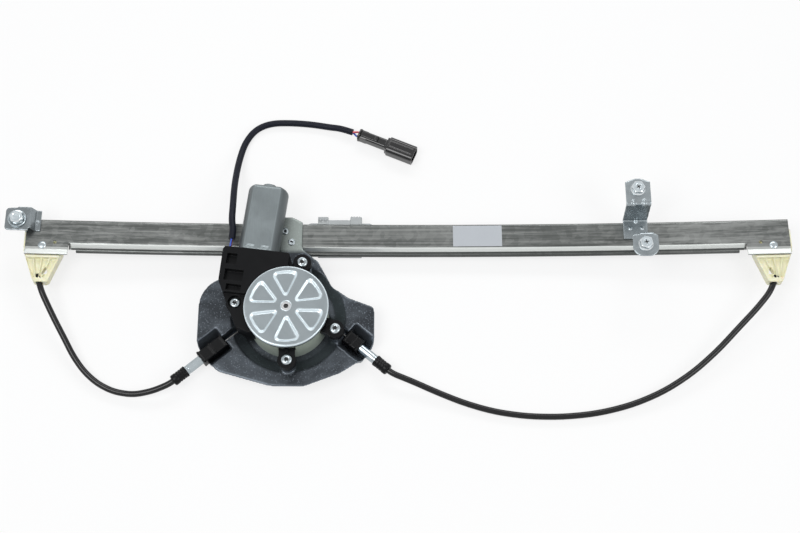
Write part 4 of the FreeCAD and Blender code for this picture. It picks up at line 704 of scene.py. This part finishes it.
class REGULATOR_OT_bolts(bpy.types.Operator):
    """Model the bracket bolts and the dished washer, and finish the weld nuts"""
    bl_idname = "regulator.bolts"
    bl_label = "Bracket Bolts"

    def execute(self, context):
        bright = zinc("zinc_fastener", tints().zinc, bright=1.95, rough=0.16, edge=0.0)
        seat = RAIL_FRONT_Z + EAR_RISE + STRAP
        places = [rail_place(RAIL_MIDDLE_X + x, y, seat, RIGHT_BRACKET_ALONG, turn)
                  for x, y, turn in EAR_BOLTS]
        model = bolt("ear_bolt", flange=sizes().bolt_flange / MM, head=4.9, cross=True)
        ears = repeated("ear_bolts", model, places)
        dressed(ears, bright, "root", ["right_bracket_bolts"])
        # Dark discs of painted shade in the bolts' cross recesses.
        socket_floors("ear_bolt_sockets", radius=2.1, height=4.76, places=places, outline="cross")

        x, y, turn = PAD_BOLT
        seat = RAIL_FRONT_Z + PAD_RISE + STRAP
        place = rail_place(RAIL_MIDDLE_X + x, y, seat + WASHER, -RAIL_HALF, turn)
        pad = repeated("pad_bolt", bolt("pad_bolt", flange=5.0, head=4.7, cross=False), [place])
        dressed(pad, bright, "root", ["left_bracket_bolt"])
        dish = [(3.2, 0.1), (7.4, 0), (7.7, 0.3), (7.7, 1.5), (7.3, 1.8), (6.8, 1.7), (5.6, 1.0), (3.1, 0.98)]
        place = rail_place(RAIL_MIDDLE_X + x, y, seat, -RAIL_HALF)
        washer = repeated("dished_washer", turned("dished_washer", dish), [place])
        satin = zinc("washer_zinc", tints().zinc, bright=1.25, rough=0.2, edge=0.0)
        dressed(washer, satin, "root", ["left_bolt_washer"])
        coated(zinc("zinc_nut", tints().zinc, bright=1.2, rough=0.25), "bracket_weld_nuts")
        return {"FINISHED"}


class REGULATOR_OT_rivets(bpy.types.Operator):
    """Model the domed rivets of the cable guides and the hollow ones of the base plate"""
    bl_idname = "regulator.rivets"
    bl_label = "Rivets"

    def execute(self, context):
        bright = zinc("rivet_zinc", tints().zinc, bright=1.5, rough=0.18, edge=0.0)
        head, shank, foot = sizes().rivet_head / MM, 2.0, -11.3
        dome = [(shank, foot), (head, foot + 0.1), (head, -10.5), (shank, -10.4), (shank, 0.0)]
        dome += [(head, 0.02), (head, 0.2), (head * 0.86, 0.65), (head * 0.62, 0.95), (head * 0.3, 1.08)]
        places = [rail_place(RAIL_MIDDLE_X - side * GUIDE_RIVET_IN, GUIDE_RIVET_Y, RAIL_FRONT_Z + 0.05,
                             side * RAIL_HALF) for side in (-1, 1)]
        domed = repeated("guide_rivet_heads", turned("guide_rivet", dome, sides=32), places)
        dressed(domed, bright, "root", ["guide_rivets"])

        box_low, box_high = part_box("plate_rivets")
        seat = box_high.z / MM - PLATE_RIVET_HEAD
        foot = box_low.z / MM - seat
        hollow = [(shank, foot), (2.9, foot + 0.02), (2.9, -3.3), (shank, -3.2), (shank, 0.0)]
        hollow += [(head * 0.92, 0.02), (head * 0.92, 0.25), (head * 0.78, 0.75), (head * 0.55, 0.9)]
        hollow += [(1.1, 0.7), (1.0, -0.8)]
        places = [Matrix.Translation(Vector((x, y, seat)) * MM) for x, y in PLATE_RIVETS]
        pierced = repeated("plate_rivet_heads", turned("plate_rivet", hollow, sides=32), places)
        dressed(pierced, bright, "root", ["plate_rivets"])
        # Dark discs of painted shade in the hollow rivets.
        socket_floors("plate_rivet_holes", radius=0.98, height=-0.5, places=places)
        return {"FINISHED"}


class REGULATOR_OT_base_plate(bpy.types.Operator):
    """Round the presswork of the base plate"""
    bl_idname = "regulator.base_plate"
    bl_label = "Base Plate"

    def execute(self, context):
        plate = softened("base_plate_pressing", "base_plate", voxel=sizes().plate_voxel / MM, rounds=4)
        dressed(plate, galvanised_plate(tints()), "root", ["base_plate"])
        return {"FINISHED"}


class REGULATOR_OT_gearbox(bpy.types.Operator):
    """Finish the gearbox housing and the pale drum cover, and round the stamped gear cover"""
    bl_idname = "regulator.gearbox"
    bl_label = "Gearbox"

    def execute(self, context):
        tint = tints()
        housing = moulding("black_moulding", tint.black, rough=0.30, grain_depth=0.08, sheen=1.6, edge=0.0006,
                           gloss=0.11)
        coated(housing, "gearbox_housing", "brush_card")
        cover = softened("gear_cover_stamping", "gear_cover", voxel=0.45, rounds=3)
        dressed(cover, stamped_cover(tint.cover), "root", ["gear_cover"])
        axle_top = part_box("axle_pin")[1].z / MM
        # A dark disc of painted shade in the hole at the axle's centre.
        socket_floors("axle_centre", radius=1.9, height=axle_top - 0.6, places=[Matrix.Identity(4)])
        pale = moulding("pale_moulding", tint.drum_ring, rough=0.45, grain_size=1500, sheen=1.25, edge=0.0005)
        coated(pale, "drum_cover")
        return {"FINISHED"}


class REGULATOR_OT_motor_screws(bpy.types.Operator):
    """Model the four pan-head screws with lobed sockets"""
    bl_idname = "regulator.motor_screws"
    bl_label = "Motor Screws"

    def execute(self, context):
        head, shank, root, pitch = sizes().screw_head / MM, 2.5, 2.1, 1.4
        steps = [(root, -12.4), (shank, -12.0)]
        for i in range(7):
            low = -11.8 + i * pitch
            steps += [(shank, low), (root, low + 0.6), (root, low + 0.8), (shank, low + 1.3)]
        steps += [(shank, 0.0), (head, 0.02), (head, 1.1), (head * 0.96, 1.8), (head * 0.86, 2.35)]
        steps += [(head * 0.7, 2.66), (2.4, 2.7), (2.2, 2.6)]
        steps += [(1.85, 2.5, "lobes"), (1.8, 1.0, "lobes"), (0.9, 0.8)]
        model = turned("motor_screw", steps)
        places = []
        for i, degrees in enumerate(SCREW_ANGLES):
            at = math.radians(degrees)
            spot = Vector((SCREW_CIRCLE * math.cos(at), SCREW_CIRCLE * math.sin(at), SCREW_SEAT)) * MM
            places.append(Matrix.Translation(spot) @ Matrix.Rotation(0.4 + i * 0.9, 4, "Z"))
        paint = zinc("screw_zinc", tints().zinc, bright=1.25, rough=0.14, edge=0.0)
        heads = repeated("motor_screw_heads", model, places)
        dressed(heads, paint, "root", ["motor_screws"])
        # Dark discs of painted shade in the screws' lobed sockets.
        socket_floors("motor_screw_sockets", radius=1.72, height=1.1, places=places, outline="lobes")
        return {"FINISHED"}


class REGULATOR_OT_motor(bpy.types.Operator):
    """Round the drawn motor can"""
    bl_idname = "regulator.motor"
    bl_label = "Motor Can"

    def execute(self, context):
        can = softened("motor_can_drawing", "motor_can", voxel=0.6, rounds=3)
        dressed(can, coated_can(tints().can), "root", ["motor_can"])
        return {"FINISHED"}


class REGULATOR_OT_cable_guides(bpy.types.Operator):
    """Round the moulded cable guides at the rail's ends and finish the cable drum"""
    bl_idname = "regulator.cable_guides"
    bl_label = "Cable Guides"

    def execute(self, context):
        paint = ivory_moulding(tints().ivory)
        for side in ("left", "right"):
            guide = softened(side + "_guide_moulding", side + "_cable_guide", voxel=0.45, rounds=2)
            dressed(guide, paint, "root", [side + "_cable_guide"])
        coated(paint, "cable_drum")
        return {"FINISHED"}


class REGULATOR_OT_adjusters(bpy.types.Operator):
    """Model the adjusters' tubes and ribbed caps, and finish their blocks and conduits"""
    bl_idname = "regulator.adjusters"
    bl_label = "Adjusters and Conduits"

    def execute(self, context):
        tint = tints()
        black = moulding("adjuster_moulding", tint.black, rough=0.28, grain_depth=0.08, sheen=1.6, edge=0.0,
                         gloss=0.14)
        chrome = drawn_tube(tint.zinc)
        sheath = glossy_sheath("conduit_black", tint.conduit)
        for side, word in ((-1, "left"), (1, "right")):
            block = softened(word + "_adjuster_block", word + "_adjuster_body", voxel=0.5, rounds=2)
            dressed(block, black, "root", [word + "_adjuster_body"])
            start, cap = TUBE_START[side], CAP_START[side]
            reach = cap - start
            bore, skin, waist = 3.2, 4.0, 3.8
            steps = [(bore, 0.5), (bore, 0), (skin, 0.05), (skin, reach - 2.2), (waist, reach - 2.0)]
            steps += [(waist, reach - 1.4), (skin, reach - 1.2), (skin, reach + 4.8), (bore, reach + 5)]
            tube = settled(turned(word + "_adjuster_sleeve", steps, sides=56), cable_place(side, start))
            dressed(tube, chrome, "root", [word + "_adjuster_tube"])
            steps = [(4.15, 0.4), (4.3, 0), (4.8, 0.1), (4.9, 0.4), (4.9, 1.7), (4.6, 2.0)]
            rib, groove, pitch = 4.7, 4.45, 2.3
            for i in range(3):
                low = 2.4 + i * pitch
                steps += [(rib, low, "scallops"), (rib, low + 1.2, "scallops")]
                steps += [(groove, low + 1.4), (groove, low + 1.9)]
            steps += [(4.75, 9.5), (4.85, 10.0), (4.85, 12.9), (4.5, 13.6), (3.9, 13.95), (2.7, 13.9)]
            boot = settled(turned(word + "_cap_moulding", steps, sides=72), cable_place(side, cap))
            dressed(boot, black, "root", [word + "_conduit_cap"])
            coated(sheath, word + "_conduit")
            coated(bare_metal(word + "_spring_steel", (0.5, 0.5, 0.5)), word + "_adjuster_spring")
        return {"FINISHED"}


class REGULATOR_OT_carrier(bpy.types.Operator):
    """Round the carrier's slider and finish the plate and rivets on it"""
    bl_idname = "regulator.carrier"
    bl_label = "Carrier"

    def execute(self, context):
        slider = softened("carrier_moulding", "carrier_slider", voxel=0.5, rounds=2)
        paint = moulding("slider_moulding", tints().slider, rough=0.38, grain_size=1400, grain_depth=0.08,
                         edge=0.0)
        dressed(slider, paint, "carrier", ["carrier_slider"])
        coated(bare_metal("glass_plate_steel", (0.30, 0.32, 0.33)), "glass_plate")
        coated(zinc("carrier_zinc", tints().zinc, bright=1.3), "carrier_rivets")
        return {"FINISHED"}


# The sleeve's route in millimetres, over the rail and along the floor. Its first points are a distance and a
# lift from the grommet's seat, and its last ones from the connector's rear.

SLEEVE_FROM = ((13.0, 0.0), (22.0, -0.3))
SLEEVE_TO = ((-17.0, -1.2), (-6.0, 0.0))
SLEEVE_POINTS = [
    (-49.6, 81.0, 34.6), (-49.8, 99.0, 29.5), (-50.6, 118.0, 21.5), (-50.4, 137.0, 12.5),
    (-48.8, 155.0, 5.8), (-45.0, 171.0, 3.5), (-36.5, 184.0, 3.2), (-23.0, 190.4, 3.2),
    (-5.0, 190.8, 3.2), (14.0, 189.3, 3.2), (31.0, 186.2, 3.4),
]


def grommet_axis(distance, lift):
    """A point out along the motor from the grommet's seat, in millimetres."""
    foot = Vector((-CENTRE_DISTANCE * math.cos(MOTOR_LEAN), CENTRE_DISTANCE * math.sin(MOTOR_LEAN), WORM_Z))
    along = Vector((math.sin(MOTOR_LEAN), math.cos(MOTOR_LEAN), 0))
    across = Vector((math.cos(MOTOR_LEAN), -math.sin(MOTOR_LEAN), 0))
    up = Vector((0, 0, GROMMET_RISE + lift))
    return foot + along * (GROMMET_ALONG + distance) - across * GROMMET_OUT + up


class REGULATOR_OT_pigtail(bpy.types.Operator):
    """Lay the sleeve from the grommet over the rail to the connector, and finish its leads"""
    bl_idname = "regulator.pigtail"
    bl_label = "Leads and Sleeve"

    def execute(self, context):
        tint, size = tints(), sizes()
        spots = [grommet_axis(*step) for step in SLEEVE_FROM]
        spots += [Vector(spot) for spot in SLEEVE_POINTS]
        spots += [connector_axis(*step) for step in SLEEVE_TO]
        points = [spot * MM for spot in spots]
        curve = bpy.data.curves.new("lead_sleeve_line", "CURVE")
        curve.dimensions = "3D"
        spline = curve.splines.new("NURBS")
        spline.points.add(len(points) - 1)
        for point, spot in zip(spline.points, points):
            point.co = (*spot, 1)
        spline.order_u = 3
        spline.use_endpoint_u = True
        curve.bevel_depth = size.sleeve / 2
        curve.bevel_resolution = 6
        curve.resolution_u = 12
        curve.use_fill_caps = True
        sleeve = bpy.data.objects.new("sleeve", curve)
        bpy.context.scene.collection.objects.link(sleeve)
        dressed(sleeve, ridged_sleeve(tint.sleeve), "root", ["lead_sleeve"])
        # The smooth curve is 1.5 percent shorter than the straight lines between its points.
        route = sum((b - a).length for a, b in zip(points, points[1:]))
        coated(insulation("wire_blue", tint.blue), "blue_lead")
        coated(insulation("wire_red", tint.red), "red_lead")
        coated(moulding("white_rubber", (0.72, 0.72, 0.70), rough=0.5, grain_size=1200), "wire_grommet")
        return {"FINISHED"}


class REGULATOR_OT_connector(bpy.types.Operator):
    """Round the edges of the connector's shell and clip, and finish its terminals"""
    bl_idname = "regulator.connector"
    bl_label = "Connector"

    def execute(self, context):
        paint = glossy_sheath("connector_black", (0.003, 0.003, 0.0035), rough=0.10, coat=0.7)
        shell = softened("connector_body", "connector_shell", voxel=0.32, rounds=3)
        dressed(shell, paint, "root", ["connector_shell"])
        clip = softened("connector_clip", "connector_lock", voxel=0.36, rounds=2)
        dressed(clip, paint, "root", ["connector_lock"])
        coated(bare_metal("terminal_brass", (0.62, 0.42, 0.20), rough=0.25), "connector_terminals")
        return {"FINISHED"}


# Finish, colour, metallic share, roughness, grain and nodes of each metal inside

INNER_METALS = (
    ("ground_steel", (0.55, 0.56, 0.57), 1.0, 0.2, 900, ["axle_pin", "armature_shaft", "drive_hub"]),
    ("cable_strands", (0.42, 0.42, 0.41), 1.0, 0.36, 2600, ["lift_cable", "wound_cable", "cable_nipples"]),
    ("ferrite", (0.045, 0.046, 0.05), 0.3, 0.6, 700, ["motor_magnets", "armature_core"]),
    ("winding_copper", (0.55, 0.22, 0.09), 1.0, 0.32, 1500, ["armature_windings", "commutator"]),
    ("sintered_bronze", (0.45, 0.28, 0.12), 1.0, 0.5, 1300, ["shaft_bushes"]),
    ("pressed_carbon", (0.02, 0.02, 0.021), 0.2, 0.7, 1100, ["carbon_brushes"]),
)


class REGULATOR_OT_gear_train(bpy.types.Operator):
    """Finish the pieces inside the gearbox, the motor and the drum's pan"""
    bl_idname = "regulator.gear_train"
    bl_label = "Gear Train"

    def execute(self, context):
        for name, tint, metal, rough, scale, nodes in INNER_METALS:
            coated(bare_metal(name, tint, metal, rough, scale), *nodes)
        nylon = moulding("wheel_nylon", (0.66, 0.64, 0.55), rough=0.4, grain_size=1500, sheen=1.15)
        coated(nylon, "worm_wheel")
        rubber = moulding("damper_rubber", (0.02, 0.02, 0.02), rough=0.7, grain_size=900, grain_depth=0.2,
                          sheen=1.6)
        coated(rubber, "wheel_damper")
        return {"FINISHED"}


# The stage, in metres. Each lamp has its name, place, size and watts.

AIM = Vector((0.0934, 0.0452, 0.020))
CAMERA_RISE, CAMERA_REACH = math.radians(68.5), 1.133
FLOOR_SIZE, FLOOR_Z, FLOOR_WHITE = 12, -0.0002, 0.76
DAYLIGHT = 0.36
LAMPS = (
    ("key_lamp", (-0.45, -0.25, 1.25), (0.7, 0.7), 9),
    ("fill_lamp", (0.95, -0.35, 0.9), (0.6, 0.6), 4.5),
    ("back_lamp", (0.15, 1.1, 0.95), (1.3, 0.35), 7),
)


def white_share(nodes, links, seen):
    """How white the camera, mirrors and clear pieces find the surroundings."""
    path = nodes.new("ShaderNodeLightPath")
    total = None
    for name in ("Is Camera Ray", "Is Glossy Ray", "Is Transmission Ray"):
        step = nodes.new("ShaderNodeMath")
        step.operation, step.use_clamp = "MULTIPLY_ADD", True
        links.new(path.outputs[name], step.inputs[0])
        step.inputs[1].default_value = seen
        step.inputs[2].default_value = 0.0
        if total:
            links.new(total, step.inputs[2])
        total = step.outputs[0]
    return total


def backdrop(tree, end, matt, values, bright, seen):
    """Light the object with one shader, and show the camera and mirrors a white one to a given share."""
    nodes, links = tree.nodes, tree.links
    nodes.clear()
    output = nodes.new(end)
    plain, white = nodes.new(matt), nodes.new(bright)
    for key, value in values.items():
        plain.inputs[key].default_value = value
    white.inputs["Color"].default_value = (1, 1, 1, 1)
    blend = nodes.new("ShaderNodeMixShader")
    links.new(white_share(nodes, links, seen), blend.inputs[0])
    links.new(plain.outputs[0], blend.inputs[1])
    links.new(white.outputs[0], blend.inputs[2])
    links.new(blend.outputs[0], output.inputs[0])


def lamp(name, place, size, power):
    """A soft rectangular lamp that faces the middle of the object."""
    light = bpy.data.lights.new(name, "AREA")
    light.shape = "RECTANGLE"
    light.size, light.size_y = size
    light.energy = power
    holder = bpy.data.objects.new(name, light)
    bpy.context.scene.collection.objects.link(holder)
    holder.location = place
    holder.rotation_euler = (AIM - Vector(place)).to_track_quat("-Z", "Y").to_euler()


class REGULATOR_OT_stage(bpy.types.Operator):
    """Set the pale floor, the soft lamps and the camera"""
    bl_idname = "regulator.stage"
    bl_label = "Stage"

    def execute(self, context):
        scene = bpy.context.scene
        scene.view_settings.view_transform = "Standard"
        fresh()
        bpy.ops.mesh.primitive_plane_add(size=FLOOR_SIZE, location=(AIM.x, AIM.y, FLOOR_Z))
        floor = bpy.context.object
        floor.name = "studio_floor"
        paper = bpy.data.materials.new("studio_floor")
        paper.use_nodes = True
        backdrop(paper.node_tree, "ShaderNodeOutputMaterial", "ShaderNodeBsdfDiffuse",
                 {"Color": (0.86, 0.86, 0.86, 1)}, "ShaderNodeEmission", FLOOR_WHITE)
        floor.data.materials.append(paper)

        world = bpy.data.worlds.new("studio")
        scene.world = world
        world.use_nodes = True
        backdrop(world.node_tree, "ShaderNodeOutputWorld", "ShaderNodeBackground",
                 {"Color": (0.94, 0.97, 1.0, 1), "Strength": DAYLIGHT}, "ShaderNodeBackground", 1.0)
        for name, place, size, power in LAMPS:
            lamp(name, place, size, power)

        camera = bpy.data.cameras.new("camera")
        camera.lens, camera.sensor_width = 60, 36
        camera.clip_start, camera.clip_end = 0.01, 50
        holder = bpy.data.objects.new("camera", camera)
        scene.collection.objects.link(holder)
        holder.location = AIM + Vector((0, -math.cos(CAMERA_RISE), math.sin(CAMERA_RISE))) * CAMERA_REACH
        holder.rotation_euler = (AIM - holder.location).to_track_quat("-Z", "Y").to_euler()
        scene.camera = holder
        return {"FINISHED"}


PIECES = (
    REGULATOR_OT_guide_rail, REGULATOR_OT_brackets, REGULATOR_OT_bolts, REGULATOR_OT_rivets,
    REGULATOR_OT_base_plate, REGULATOR_OT_gearbox, REGULATOR_OT_motor_screws, REGULATOR_OT_motor,
    REGULATOR_OT_cable_guides, REGULATOR_OT_adjusters, REGULATOR_OT_carrier, REGULATOR_OT_connector,
    REGULATOR_OT_pigtail, REGULATOR_OT_gear_train, REGULATOR_OT_stage,
)


class REGULATOR_PT_panel(bpy.types.Panel):
    """Sizes, colours and pieces of the window regulator"""
    bl_idname = "REGULATOR_PT_panel"
    bl_label = "Window Regulator"
    bl_space_type = "VIEW_3D"
    bl_region_type = "UI"
    bl_category = "Regulator"

    def draw(self, context):
        for group in (context.scene.regulator_sizes, context.scene.regulator_colours):
            column = self.layout.column(align=True)
            for name in group.__annotations__:
                column.prop(group, name)
        column = self.layout.column(align=True)
        for piece in PIECES:
            column.operator(piece.bl_idname)


CLASSES = (RegulatorColours, RegulatorSizes, *PIECES, REGULATOR_PT_panel)


def register():
    for made in CLASSES:
        bpy.utils.register_class(made)
    bpy.types.Scene.regulator_colours = bpy.props.PointerProperty(type=RegulatorColours)
    bpy.types.Scene.regulator_sizes = bpy.props.PointerProperty(type=RegulatorSizes)


def unregister():
    del bpy.types.Scene.regulator_colours
    del bpy.types.Scene.regulator_sizes
    for made in reversed(CLASSES):
        bpy.utils.unregister_class(made)


def main():
    """Register the add-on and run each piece's operator."""
    register()
    for piece in PIECES:
        getattr(bpy.ops.regulator, piece.bl_idname.split(".")[1])()


if __name__ == "__main__":
    main()
